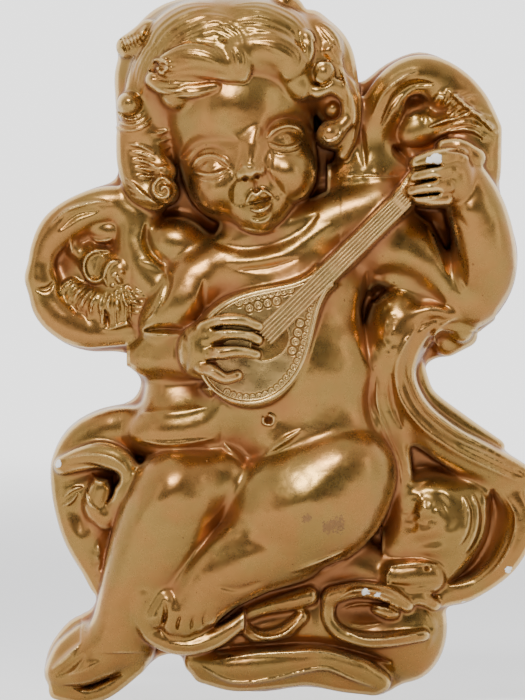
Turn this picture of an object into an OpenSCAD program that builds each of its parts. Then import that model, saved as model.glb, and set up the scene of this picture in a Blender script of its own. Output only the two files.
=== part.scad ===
/* [Plaque] */
// Overall height of the figure
plaque_h = 303; // [250:1:365]
// Distance from the wall to the tip of the nose
relief_d = 58; // [48:1:70]
// Thickness of the flat slab behind the figure
slab_t = 8; // [6.5:0.1:10]

/* [Mandolin] */
// Radius of the round end of the mandolin's body
bowl_r = 22.5; // [18:0.5:27]
// Width of the neck and the fingerboard
neck_w = 7.2; // [6:0.1:9]
// Height of the fingerboard above the soundboard
fingerboard_t = 1.6; // [1:0.1:2.4]
// Thickness of the soundboard
soundboard_t = 2.5; // [1.5:0.1:3.5]
// Width of the binding around the soundboard
binding_w = 1.1; // [0.8:0.1:1.6]
// Height of the binding above the soundboard
binding_h = 0.8; // [0.4:0.1:1.2]
// Number of strings
string_count = 5; // [3:1:6]
// Width and height of one string
string_w = 0.6; // [0.4:0.05:0.8]
// Outer diameter of one inlaid ring
inlay_d = 3.3; // [2.4:0.1:3.8]
// Height of the inlaid rings above the soundboard
inlay_h = 0.7; // [0.3:0.1:1]

/* [Hanger] */
// Distance of the hanger's hinge above the middle of the back
hanger_z = 96; // [80:1:110]
// Sideways place of the hanger, in line with the centre of mass
hanger_x = 2; // [-10:1:10]
// Diameter of the ring's wire
wire_d = 2.2; // [1.6:0.1:2.8]
// Width of the ring between the middles of its legs
ring_w = 18; // [14:0.5:22]
// Straight length of the ring's legs
ring_leg = 5; // [3:0.5:8]
// Gap between the wire and the knuckle that holds it
hinge_gap = 0.05; // [0.02:0.01:0.1]
// Thickness of the strap's sheet
strap_t = 0.8; // [0.6:0.1:1.2]
// Width of the strap
strap_w = 11; // [9:0.5:13]
// Length of the strap below the hinge
strap_len = 24; // [20:1:30]
// Diameter of the screws' shanks
screw_d = 3; // [2.4:0.1:3.6]
// Length of the screws under their heads
screw_len = 10; // [8:0.5:14]
// Distance between the two screws
screw_pitch = 11; // [9:0.5:14]
// Space around the ring and strap in the recess
recess_gap = 3; // [2:0.5:5]

/* [Hidden] */

// The forms below are drawn for a figure of these sizes, and scaled to the sizes above.
drawn_h = 303;
drawn_d = 58;
k = plaque_h / drawn_h;
kd = relief_d / drawn_d;
facets = 14;
far = 600;
eps = 0.01;

// Each row is [across, up, radius, crest]: a column of clay that stands out from the wall and ends in a dome
// whose crest is that far from the wall. A chain joins each row to the next.
TORSO = [
    [[-8, 178, 22, 41], [14, 174, 24, 41], [18, 143, 28, 44], [-2, 143, 27, 44], [-2, 116, 20, 39], [30, 114, 20, 39]],
    [[-50, 121, 11, 30], [-38, 116, 14, 33], [-20, 118, 16, 36]],
    [[-8, 193, 14, 37], [-30, 184, 15, 37]],
    [[6, 196, 15, 37], [30, 204, 15, 35]],
    [[-14, 202, 12, 37], [4, 203, 12, 38]]];
LEFT_LEG = [
    [[-2, 83, 25, 50], [20, 92, 26, 52], [28, 96, 21, 49]],
    [[-2, 83, 25, 50], [-12, 78, 17, 47]],
    [[28, 88, 20, 48], [34, 104, 13, 42]]];
RIGHT_LEG = [
    [[-28, 96, 16, 40], [-43, 92, 18, 45], [-49, 84, 19, 46], [-54, 70, 20, 43], [-60, 53, 16, 39], [-66, 38, 13, 34]]];
LEFT_SHIN = [
    [[16, 74, 18, 46], [-4, 67, 18, 45], [-22, 57, 16, 43], [-34, 47, 12, 41]],
    [[30, 76, 14, 42], [10, 64, 10, 38]]];
LEFT_FOOT = [
    [[-34, 46, 12, 41], [-41, 38, 12, 40], [-42, 33, 9, 38]],
    [[-46, 40, 7, 40], [-53, 37, 5, 38]],
    [[-42, 33, 6, 38], [-47, 29, 4, 36]],
    [[-38, 32, 6, 37], [-40, 28, 4, 35]],
    [[-34, 34, 6, 36], [-33, 30, 4, 33]],
    [[-30, 38, 6, 35], [-28, 34, 4, 32]]];
RIGHT_FOOT = [
    [[-66, 36, 12, 32], [-72, 26, 12, 31], [-82, 18, 11, 29], [-90, 13, 9, 25]],
    [[-68, 26, 10, 28], [-62, 19, 8, 25]],
    [[-88, 18, 7, 26], [-95, 14, 5, 22]],
    [[-84, 10, 6, 24], [-90, 6, 5, 21]]];
RIGHT_UPPER_ARM = [
    [[-36, 183, 13, 37], [-46, 170, 13, 38], [-52, 160, 11, 36]]];
RIGHT_FOREARM = [
    [[-54, 151, 10, 33], [-45, 150, 11, 38], [-37, 151, 12, 43]]];
RIGHT_HAND = [
    [[-37, 152, 10, 49], [-31, 151, 10, 51]],
    [[-32, 160, 3.4, 51], [-26, 163, 2.7, 54], [-17, 163.5, 2.5, 55], [-9.5, 161.5, 2, 52]],
    [[-30, 156, 3.2, 52], [-23, 157, 2.7, 55], [-9.8, 155.4, 2, 52]],
    [[-30, 150, 3.2, 53], [-20, 150.5, 2.5, 55.5], [-10.6, 150.2, 2, 52]],
    [[-33, 144, 3.4, 51], [-24, 139.6, 2.6, 54], [-18.5, 141, 2.3, 51.5]]];
LEFT_UPPER_ARM = [
    [[40, 206, 14, 33], [58, 193, 16, 32], [74, 183, 14, 31], [80, 178, 12, 30]]];
LEFT_FOREARM = [
    [[77, 220, 11, 42], [83, 208, 13, 43], [86, 196, 14.5, 42], [86, 184, 14, 37], [82, 176, 12, 31]]];
LEFT_HAND = [
    [[77, 222, 10, 45], [73, 230, 10, 47]],
    [[75, 238, 4.5, 46], [66, 236.5, 4.4, 50], [57.5, 232.5, 3.4, 49]],
    [[73, 231, 3.8, 49], [65, 228.5, 3.6, 52], [57, 226.6, 2.8, 50]],
    [[72, 225, 3.8, 50], [64, 223.4, 3.4, 52.5], [56, 222.4, 2.6, 50]],
    [[70, 219, 3.8, 49], [63, 217.5, 3.2, 52], [55.5, 218.6, 2.6, 50]],
    [[80, 238, 4.5, 42], [74, 242, 3.6, 43], [66, 243, 2.8, 41]]];
HEAD = [
    [[-26, 262, 23, 50], [-21, 252, 28, 54], [-15, 238, 27, 53], [-11, 224, 19, 50], [-9, 212, 9, 49]],
    [[-28, 223, 11, 50], [-22, 221, 10, 50]],
    [[4, 227, 11, 51], [-2, 224, 10, 51]],
    [[-14, 238, 3, 54], [-12.5, 229, 3.4, 58]],
    [[-36, 243, 5, 49], [-22, 247, 5, 54], [-4, 252, 5, 54], [6, 252, 5, 50]]];
HAIR_CROWN = [
    [[-57, 248, 12, 36], [-57, 262, 13, 42], [-52, 276, 14, 47], [-38, 287, 14, 50], [-20, 290, 13, 51],
        [-4, 289, 13, 50], [10, 281, 13, 46], [20, 267, 12, 42], [24, 250, 9, 36]]];
FORELOCK = [
    [[-44, 272, 6, 55], [-31, 274, 7, 57], [-20, 272, 6, 58]],
    [[-18, 277, 7, 57], [-5, 280, 8, 57], [4, 274, 7, 55], [6, 266, 5, 51]],
    [[-48, 267, 6, 52], [-40, 263, 5, 53], [-34, 262, 4, 53]]];
CURLS_RIGHT = [
    [[-59, 282, 9, 34], [-61, 288, 7, 33]],
    [[-64, 258, 8, 34], [-62, 268, 8, 36]],
    [[-60, 247, 9, 32], [-61, 235, 9, 30], [-60, 224, 8, 29], [-52, 219, 7, 33]],
    [[-51, 271, 5, 54], [-48, 268, 4, 54]],
    [[-52, 232, 6, 36], [-46, 222, 5, 36]]];
CURLS_LEFT = [
    [[12, 287, 8, 44], [6, 297, 6, 38], [-10, 298, 6, 38], [-26, 298, 6, 38]],
    [[18, 272, 8, 48], [20, 263, 7, 48]],
    [[22, 256, 7, 44], [22, 244, 7, 42], [17, 238, 5, 40]],
    [[27, 268, 6, 34], [29, 252, 5, 30], [27, 240, 5, 28]]];
RIGHT_WING = [
    [[-66, 214, 7, 24], [-80, 215, 7, 24], [-94, 207, 7, 24], [-102, 193, 7, 24], [-100, 176, 7, 23],
        [-91, 164, 7, 23], [-78, 160, 6, 22], [-66, 159, 6, 22]],
    [[-56, 208, 10, 24], [-54, 196, 12, 26]],
    [[-90, 196, 22, 14], [-80, 190, 24, 14], [-76, 180, 22, 14]]];
RIGHT_WING_FEATHERS = [
    [[-62, 192, 8, 24], [-70, 185, 7, 23], [-80, 187, 5, 21]],
    [[-72, 182, 5, 21], [-86, 174, 4, 20]],
    [[-68, 178, 5, 21], [-80, 168, 4, 20]],
    [[-64, 174, 5, 21], [-72, 164, 4, 20]],
    [[-88, 202, 4, 19], [-82, 206, 4, 19], [-76, 202, 4, 19], [-78, 196, 4, 19]],
    [[-92, 192, 4, 19], [-96, 184, 4, 18]]];
LEFT_WING = [
    [[38, 238, 7, 26], [41, 252, 7, 30], [48, 265, 8, 32], [62, 272, 8, 32], [75, 266, 8, 30], [84, 254, 8, 28],
        [86, 240, 7, 26], [86, 226, 7, 25]],
    [[52, 244, 20, 18], [66, 252, 20, 18], [72, 236, 20, 18]],
    [[34, 226, 9, 26], [48, 222, 9, 28]]];
LEFT_WING_FEATHERS = [
    [[56, 250, 6, 27], [60, 243, 7, 29]],
    [[66, 258, 4, 24], [72, 250, 5, 25]],
    [[74, 262, 4, 26], [80, 252, 4, 26], [80, 242, 4, 25]],
    [[52, 262, 4, 23], [47, 252, 4, 23], [46, 242, 4, 23]],
    [[62, 264, 3, 23], [70, 260, 3, 24]]];
DRAPE_KNEE = [
    [[-90, 104, 6, 26], [-79, 110, 8, 30], [-69, 103, 8, 32], [-67, 90, 6, 29]],
    [[-84, 98, 14, 20], [-84, 78, 13, 19], [-78, 62, 9, 17]],
    [[-90, 116, 7, 18], [-78, 120, 6, 20], [-66, 118, 8, 22], [-58, 116, 8, 25]],
    [[-93, 92, 5, 22], [-89, 74, 5, 21], [-80, 58, 5, 20], [-77, 48, 5, 20]]];
DRAPE_ARM = [
    [[76, 163, 7, 26], [62, 161, 8, 29], [54, 150, 8, 29], [53, 136, 8, 29], [60, 122, 8, 28], [75, 111, 8, 26],
        [90, 104, 7, 24], [102, 98, 6, 22]],
    [[44, 150, 5, 30], [44, 132, 5, 29], [50, 116, 6, 28], [54, 102, 6, 26], [52, 88, 6, 25]],
    [[46, 172, 6, 33], [58, 171, 6, 30], [72, 169, 5, 26]],
    [[82, 118, 5, 18], [70, 126, 5, 18]]];
DRAPE_SWIRL = [
    [[104, 96, 4, 20], [103, 80, 5, 21], [97, 64, 5, 21], [86, 52, 5, 21], [72, 46, 5, 21]],
    [[62, 84, 9, 27], [74, 86, 8, 27], [82, 80, 6, 25]],
    [[64, 72, 22, 14], [82, 76, 22, 14], [84, 90, 16, 14]],
    [[60, 100, 6, 23], [76, 100, 5, 22], [92, 92, 5, 20]],
    [[54, 70, 5, 22], [66, 64, 5, 21], [80, 64, 4, 19]]];
DRAPE_ROLL = [
    [[49, 57, 5.5, 25], [65, 57, 5.5, 25]]];
DRAPE_BASE = [
    [[-36, 14, 6, 21], [-18, 11, 7, 24], [4, 14, 7, 25], [24, 16, 7, 23], [40, 10, 6, 20], [52, 16, 6, 20]],
    [[-16, 32, 16, 18], [14, 34, 20, 18], [40, 34, 20, 18], [52, 30, 14, 17]],
    [[-14, 36, 5, 24], [-4, 30, 5, 26], [8, 34, 5, 26], [18, 46, 5, 28], [32, 52, 5, 28]],
    [[26, 38, 6, 26], [34, 44, 6, 29], [48, 44, 6, 29], [60, 38, 6, 25], [60, 28, 5, 22]],
    [[28, 28, 5, 23], [44, 26, 5, 23]],
    [[60, 48, 6, 20], [66, 34, 5, 18]]];

// The order in which the pieces are fitted: each one is cut to the shape of all those before it.
FITTED = [TORSO, LEFT_LEG, RIGHT_LEG, LEFT_SHIN, LEFT_FOOT, RIGHT_FOOT, LEFT_UPPER_ARM, LEFT_FOREARM, LEFT_HAND,
    RIGHT_UPPER_ARM, RIGHT_FOREARM, RIGHT_HAND, HEAD, HAIR_CROWN, FORELOCK, CURLS_RIGHT, CURLS_LEFT, RIGHT_WING,
    RIGHT_WING_FEATHERS, LEFT_WING, LEFT_WING_FEATHERS, DRAPE_KNEE, DRAPE_ARM, DRAPE_ROLL, DRAPE_SWIRL, DRAPE_BASE];

// Corners of the slab's outline, which a smooth curve joins.
OUTLINE = [[-35, 303], [-50, 300], [-60, 291], [-69, 284], [-71, 262], [-70, 238], [-72, 226], [-84, 220],
    [-97, 213], [-105, 200], [-109, 185], [-105, 171], [-96, 158], [-84, 152], [-70, 151], [-61, 147], [-60, 136],
    [-66, 129], [-80, 125], [-92, 117], [-98, 104], [-98, 90], [-93, 72], [-85, 59], [-79, 48], [-81, 40],
    [-92, 34], [-100, 23], [-101, 12], [-96, 3], [-84, 0.6], [-72, 4], [-60, 15], [-46, 20], [-34, 12], [-12, 4],
    [8, 6], [24, 5], [44, 3], [58, 12], [67, 24], [69, 40], [82, 44], [95, 55], [104, 72], [109, 88], [107, 99],
    [92, 110], [76, 121], [62, 131], [60, 143], [72, 151], [83, 160], [96, 174], [101, 193], [98, 206], [93, 222],
    [95, 238], [93, 252], [85, 266], [73, 276], [60, 281], [46, 276], [34, 268], [28, 276], [22, 288], [11, 295],
    [6, 302], [-12, 303]];
curve_steps = 3;

// Heights of the mandolin's layers above the wall, and its place and slope.
bowl_back = 28 * kd;
board_top = 46.5 * kd;
bowl_top = board_top - soundboard_t;
fingerboard_top = board_top + fingerboard_t;
bowl_x = -14 * k;
bowl_z = 151 * k;
mandolin_turn = 44.5;
neck_joint = 45 * k;
neck_shoulder = 0.8;
neck_end = 93.5 * k;
fingerboard_start = 9 * k;
pegbox_len = 15 * k;
pegbox_turn = 17;
neck_back = 22 * kd;
arc_step = 6;
taper_steps = 12;
string_gap = (neck_w - string_w - 0.6) / (string_count - 1);
inlay_inset = binding_w + inlay_d / 2 + 0.3;
inlay_wall = 0.55;
inlay_pitch = inlay_d + 0.3;
inlay_turn = inlay_pitch / (bowl_r - inlay_inset) * 180 / PI;
inlay_free = 9 * k;
inlay_end = 24 * k;
rose_long = 8.5;
rose_wide = 6;
rose_wall = 1;

knuckle_r = wire_d / 2 + hinge_gap + strap_t;
recess_d = 2 * knuckle_r + 1.1;
axis_d = recess_d - knuckle_r;
recess_w = ring_w + wire_d + 2 * recess_gap;
ring_top = ring_leg + ring_w / 2 + wire_d / 2;
head_r = screw_d * 0.9;
head_h = 1.2;
pilot_d = screw_d * 0.8;
screw_drop = [7, 7 + screw_pitch];

function catmull(a, b, c, d, t) = 0.5 * (2 * b + (c - a) * t + (2 * a - 5 * b + 4 * c - d) * t * t
    + (3 * b - a - 3 * c + d) * t * t * t);
function closed_curve(p, n) = let (m = len(p)) [for (i = [0:m - 1], j = [0:n - 1])
    catmull(p[(i + m - 1) % m], p[i], p[(i + 1) % m], p[(i + 2) % m], j / n)];

// Half the width of the mandolin's body at a distance u from the middle of its round end towards the neck.
function half_width(u) = let (tip = neck_w / 2 + neck_shoulder)
    tip + (bowl_r - tip) * (0.5 + 0.5 * cos(180 * pow(u / neck_joint, 1.15)));
function body_side(inset) = concat(
    [for (a = [180:-arc_step:90 + arc_step / 2]) (bowl_r - inset) * [cos(a), sin(a)]],
    [for (i = [0:taper_steps]) let (u = neck_joint * i / taper_steps) [u, half_width(u) - inset]]);
function body_outline(inset) = let (side = body_side(inset))
    concat(side, [for (i = [len(side) - 1:-1:1]) [side[i][0], -side[i][1]]]);

// Stands the figure up: drawn lying on its back, it turns to face -Y with its middle at the origin's height.
module upright() translate([0, 0, -plaque_h / 2]) rotate([90, 0, 0]) children();

module thumb(p) {
    r = p[2] * k;
    translate([p[0] * k, p[1] * k, p[3] * kd - r]) sphere(r = r, $fn = facets);
    translate([p[0] * k, p[1] * k, -eps]) cylinder(r = r, h = max(p[3] * kd - r, eps), $fn = facets);
}

module mass(chains)
    for (c = chains, i = [0:len(c) - 2])
        hull() {
            thumb(c[i]);
            thumb(c[i + 1]);
        }

module figure_piece(n)
    color("goldenrod") upright() difference() {
        mass(FITTED[n]);
        translate([-far, -far, -far]) cube([2 * far, 2 * far, far + slab_t]);
        mandolin_space();
        pilot_holes();
        for (j = [0:1:n - 1]) mass(FITTED[j]);
    }

module torso() figure_piece(0);
module left_leg() figure_piece(1);
module right_leg() figure_piece(2);
module left_shin() figure_piece(3);
module left_foot() figure_piece(4);
module right_foot() figure_piece(5);
module left_upper_arm() figure_piece(6);
module left_forearm() figure_piece(7);
module left_hand() figure_piece(8);
module right_upper_arm() figure_piece(9);
module right_forearm() figure_piece(10);
module right_hand() figure_piece(11);
module head() figure_piece(12);
module hair_crown() figure_piece(13);
module forelock() figure_piece(14);
module hair_curls_right() figure_piece(15);
module hair_curls_left() figure_piece(16);
module right_wing() figure_piece(17);
module right_wing_feathers() figure_piece(18);
module left_wing() figure_piece(19);
module left_wing_feathers() figure_piece(20);
module drape_knee() figure_piece(21);
module drape_arm() figure_piece(22);
module drape_roll() figure_piece(23);
module drape_swirl() figure_piece(24);
module drape_base() figure_piece(25);

module back_slab()
    color("darkgoldenrod") difference() {
        upright() linear_extrude(slab_t) polygon(closed_curve(OUTLINE * k, curve_steps));
        recess();
        upright() pilot_holes();
    }

// The pocket in the slab's back that holds the hanger.
module recess()
    translate([hanger_x - recess_w / 2, -recess_d, hanger_z - strap_len - recess_gap])
        cube([recess_w, recess_d + eps, strap_len + ring_top + 2 * recess_gap]);

module pilot_holes()
    for (drop = screw_drop)
        translate([hanger_x, hanger_z - drop + plaque_h / 2, recess_d - eps])
            cylinder(d = pilot_d, h = screw_len - strap_t + eps, $fn = 32);

module on_mandolin(depth) translate([bowl_x, bowl_z, depth]) rotate([0, 0, mandolin_turn]) children();

module board_layer(inset, depth, t) on_mandolin(depth) linear_extrude(t) polygon(body_outline(inset));

module bar(start, end, width, depth, t)
    on_mandolin(depth) translate([start, -width / 2, 0]) cube([end - start, width, t]);

module pegbox_block(t)
    on_mandolin(neck_back) translate([neck_end, 0, 0]) rotate([0, 0, pegbox_turn])
        translate([-0.5, -neck_w / 2, 0]) cube([pegbox_len, neck_w, t]);

// Everything that the mandolin takes up, which the figure is cut to.
module mandolin_space() {
    board_layer(0, bowl_back, board_top - bowl_back);
    bar(neck_joint - neck_w, neck_end, neck_w, neck_back, board_top - neck_back);
    bar(fingerboard_start, neck_end, neck_w, board_top - soundboard_t, fingerboard_t + soundboard_t);
    pegbox_block(board_top - neck_back);
    binding_form(board_top - eps, binding_h + eps);
    strings(soundboard_t);
    at_inlay_places() translate([0, 0, -eps]) cylinder(d = inlay_d, h = inlay_h + eps, $fn = 24);
}

module binding_form(depth, t)
    difference() {
        board_layer(0, depth, t);
        board_layer(binding_w, depth - eps, t + 2 * eps);
        bar(neck_joint - neck_w, neck_joint + eps, neck_w, board_top, binding_h + eps);
    }

module strings(sunk)
    for (i = [0:string_count - 1])
        on_mandolin(fingerboard_top - sunk)
            translate([fingerboard_start, (i - (string_count - 1) / 2) * string_gap - string_w / 2, 0])
                cube([neck_end - fingerboard_start, string_w, string_w + sunk]);

module mandolin_bowl() color("goldenrod") upright() board_layer(0, bowl_back, bowl_top - bowl_back);

module mandolin_soundboard()
    color("gold") upright() board_layer(binding_w, bowl_top, soundboard_t);

module mandolin_binding()
    color("palegoldenrod") upright() binding_form(bowl_top, soundboard_t + binding_h);

module mandolin_neck()
    color("goldenrod") upright() bar(neck_joint, neck_end, neck_w, neck_back, board_top - neck_back);

module mandolin_fingerboard()
    color("gold") upright() bar(fingerboard_start, neck_end, neck_w, board_top, fingerboard_t);

module mandolin_pegbox()
    color("goldenrod") upright() difference() {
        pegbox_block(board_top - neck_back);
        bar(neck_joint, neck_end, neck_w, neck_back - eps, board_top - neck_back + 2 * eps);
    }

module mandolin_strings() color("khaki") upright() strings(0);

// A raised crescent around the sound hole, on the side of the fingerboard where it shows.
module mandolin_rose()
    color("sienna") upright() difference() {
        on_mandolin(board_top) translate([fingerboard_start + rose_long, -neck_w / 2, 0]) linear_extrude(inlay_h)
            polygon(concat([for (a = [180:12:360]) [rose_long * cos(a), rose_wide * sin(a)]],
                [for (a = [360:-12:180]) [(rose_long - rose_wall) * cos(a), (rose_wide - rose_wall) * sin(a)]]));
    }

// One row of rings along the edge, on the part of the body that the player's hand leaves free.
module mandolin_inlay() color("palegoldenrod") upright() at_inlay_places() inlay_ring();

module at_inlay_places() on_mandolin(board_top) {
    for (a = [-inlay_turn / 2 - 90:-inlay_turn:-170])
        rotate([0, 0, a]) translate([bowl_r - inlay_inset, 0, 0]) children();
    for (u = [inlay_pitch / 2:inlay_pitch:inlay_end])
        translate([u, inlay_inset - half_width(u), 0]) children();
    for (u = [inlay_free:inlay_pitch:inlay_end])
        translate([u, half_width(u) - inlay_inset, 0]) children();
}

module inlay_ring() difference() {
    cylinder(d = inlay_d, h = inlay_h, $fn = 24);
    translate([0, 0, -eps]) cylinder(d = inlay_d - 2 * inlay_wall, h = inlay_h + 2 * eps, $fn = 24);
}

module hanger_strap()
    color("silver") difference() {
        union() {
            translate([hanger_x - strap_w / 2, -axis_d, hanger_z]) rotate([0, 90, 0])
                cylinder(r = knuckle_r, h = strap_w, $fn = 48);
            translate([hanger_x - strap_w / 2, -recess_d, hanger_z - strap_len])
                cube([strap_w, strap_t, strap_len]);
        }
        translate([hanger_x - far / 2, -axis_d, hanger_z]) rotate([0, 90, 0])
            cylinder(d = wire_d + 2 * hinge_gap, h = far, $fn = 48);
        for (drop = screw_drop)
            translate([hanger_x, -recess_d - eps, hanger_z - drop]) rotate([-90, 0, 0])
                cylinder(d = screw_d, h = strap_t + 2 * eps, $fn = 32);
    }

module hanger_ring()
    color("silver") translate([hanger_x, -axis_d, hanger_z]) {
        rotate([0, 90, 0]) cylinder(d = wire_d, h = ring_w, center = true, $fn = 32);
        for (side = [-1, 1]) {
            translate([side * ring_w / 2, 0, 0]) sphere(d = wire_d, $fn = 32);
            translate([side * ring_w / 2, 0, 0]) cylinder(d = wire_d, h = ring_leg, $fn = 32);
        }
        translate([0, 0, ring_leg]) rotate([90, 0, 0])
            rotate_extrude(angle = 180, $fn = 64) translate([ring_w / 2, 0]) circle(d = wire_d, $fn = 32);
    }

module hanger_screws()
    color("gray") for (drop = screw_drop)
        translate([hanger_x, -recess_d + strap_t, hanger_z - drop]) {
            rotate([90, 0, 0]) cylinder(d = screw_d, h = screw_len, $fn = 32);
            rotate([-90, 0, 0]) cylinder(r = head_r, h = head_h, $fn = 32);
        }

back_slab();
torso();
head();
hair_crown();
forelock();
hair_curls_right();
hair_curls_left();
right_wing();
right_wing_feathers();
left_wing();
left_wing_feathers();
right_upper_arm();
right_forearm();
right_hand();
left_upper_arm();
left_forearm();
left_hand();
right_leg();
right_foot();
left_leg();
left_shin();
left_foot();
drape_knee();
drape_arm();
drape_swirl();
drape_roll();
drape_base();
mandolin_bowl();
mandolin_soundboard();
mandolin_binding();
mandolin_neck();
mandolin_fingerboard();
mandolin_pegbox();
mandolin_rose();
mandolin_inlay();
mandolin_strings();
hanger_strap();
hanger_ring();
hanger_screws();
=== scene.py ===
"""A gilded putto that plays a mandolin: a cast wall relief, modelled in voxel clay around its CAD frame."""

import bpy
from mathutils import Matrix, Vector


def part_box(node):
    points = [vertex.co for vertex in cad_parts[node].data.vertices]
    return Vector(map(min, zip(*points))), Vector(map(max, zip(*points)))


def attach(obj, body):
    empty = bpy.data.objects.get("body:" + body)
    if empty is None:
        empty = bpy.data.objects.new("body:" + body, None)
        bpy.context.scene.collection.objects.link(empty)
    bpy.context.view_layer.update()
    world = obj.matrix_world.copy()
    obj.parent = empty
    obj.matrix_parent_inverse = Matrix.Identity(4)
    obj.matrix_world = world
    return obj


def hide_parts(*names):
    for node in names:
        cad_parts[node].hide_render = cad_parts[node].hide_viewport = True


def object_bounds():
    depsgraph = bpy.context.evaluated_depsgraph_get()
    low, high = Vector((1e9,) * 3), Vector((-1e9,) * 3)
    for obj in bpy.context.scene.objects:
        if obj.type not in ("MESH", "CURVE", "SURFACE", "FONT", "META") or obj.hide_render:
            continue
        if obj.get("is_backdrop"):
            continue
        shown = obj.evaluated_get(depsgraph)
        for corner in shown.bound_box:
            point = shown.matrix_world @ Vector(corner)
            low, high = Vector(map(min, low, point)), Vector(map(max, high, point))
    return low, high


bl_info = {
    "name": "Gilded putto relief",
    "version": (1, 0, 0),
    "blender": (4, 5, 0),
    "location": "3D Viewport > Sidebar > Putto",
    "description": "Models a gilded cast putto with a mandolin, its paint, its hanger and a plain stage",
    "category": "Object",
}

import math

import bpy
import numpy as np
from bpy.props import FloatProperty, FloatVectorProperty, IntProperty, PointerProperty
from bpy.types import Operator, Panel, PropertyGroup
from mathutils import Vector

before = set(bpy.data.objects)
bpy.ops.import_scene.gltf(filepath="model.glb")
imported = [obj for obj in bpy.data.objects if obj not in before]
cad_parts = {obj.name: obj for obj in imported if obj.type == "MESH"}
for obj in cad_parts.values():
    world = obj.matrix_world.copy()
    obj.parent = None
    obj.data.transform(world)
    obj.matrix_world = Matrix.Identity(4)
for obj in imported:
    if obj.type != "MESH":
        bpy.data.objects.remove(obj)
CAD_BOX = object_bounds()
MM = 0.001

# The figure is drawn in millimetres as (across, up from the foot, away from the wall), at these sizes.
DRAWN_HEIGHT = 303.25
DRAWN_DEPTH = 57.9
FOOT_TO_MIDDLE = 151.5
SCALE = (CAD_BOX[1].z - CAD_BOX[0].z) / (DRAWN_HEIGHT * MM)
DEPTH_SCALE = (CAD_BOX[1].y - CAD_BOX[0].y) / (DRAWN_DEPTH * MM)


# Clay: distance fields on a common lattice. Nothing is undercut, because the figure comes out of a mould.

FAR = 60.0


class Lattice:
    """The points that the clay is sampled on, evenly spaced from lo to hi in millimetres."""

    def __init__(self, lo, hi, step):
        self.lo = np.array(lo, float)
        self.step = step
        self.n = tuple(int(round((b - a) / step)) + 1 for a, b in zip(lo, hi))

    def axis(self, a, start, stop):
        return (self.lo[a] + self.step * np.arange(start, stop)).astype(np.float32)


def smooth_min(a, b, k):
    if k <= 0:
        return np.minimum(a, b)
    h = np.maximum(k - np.abs(a - b), 0) / k
    return np.minimum(a, b) - h * h * k * 0.25


def smooth_max(a, b, k):
    return -smooth_min(-a, -b, k)


def blurred(a, r):
    """The map a averaged three times over squares of 2 r + 1 samples, close to a soft round blur."""
    for _ in range(3 if r > 0 else 0):
        for axis in (0, 1):
            run = np.cumsum(np.insert(a, 0, 0, axis), axis, dtype=np.float64)
            i = np.arange(a.shape[axis])
            low, high = np.maximum(i - r, 0), np.minimum(i + r + 1, len(i))
            width = np.expand_dims(high - low, 1 - axis)
            a = ((np.take(run, high, axis) - np.take(run, low, axis)) / width).astype(np.float32)
    return a


def spline(points, n=6, closed=False):
    """A smooth curve through the points, n steps from each to the next."""
    p = np.array(points, float)
    if len(p) < 3 and not closed:
        return p
    q = np.vstack([p[-1:], p, p[:2]]) if closed else np.vstack([2 * p[:1] - p[1:2], p, 2 * p[-1:] - p[-2:-1]])
    out = []
    for i in range(1, len(q) - 2):
        a, b, c, d = q[i - 1:i + 3]
        for t in np.arange(n) / n:
            out.append(0.5 * (2 * b + (c - a) * t + (2 * a - 5 * b + 4 * c - d) * t * t
                              + (3 * b - a - 3 * c + d) * t ** 3))
    if not closed:
        out.append(p[-1])
    return np.array(out)


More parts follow.
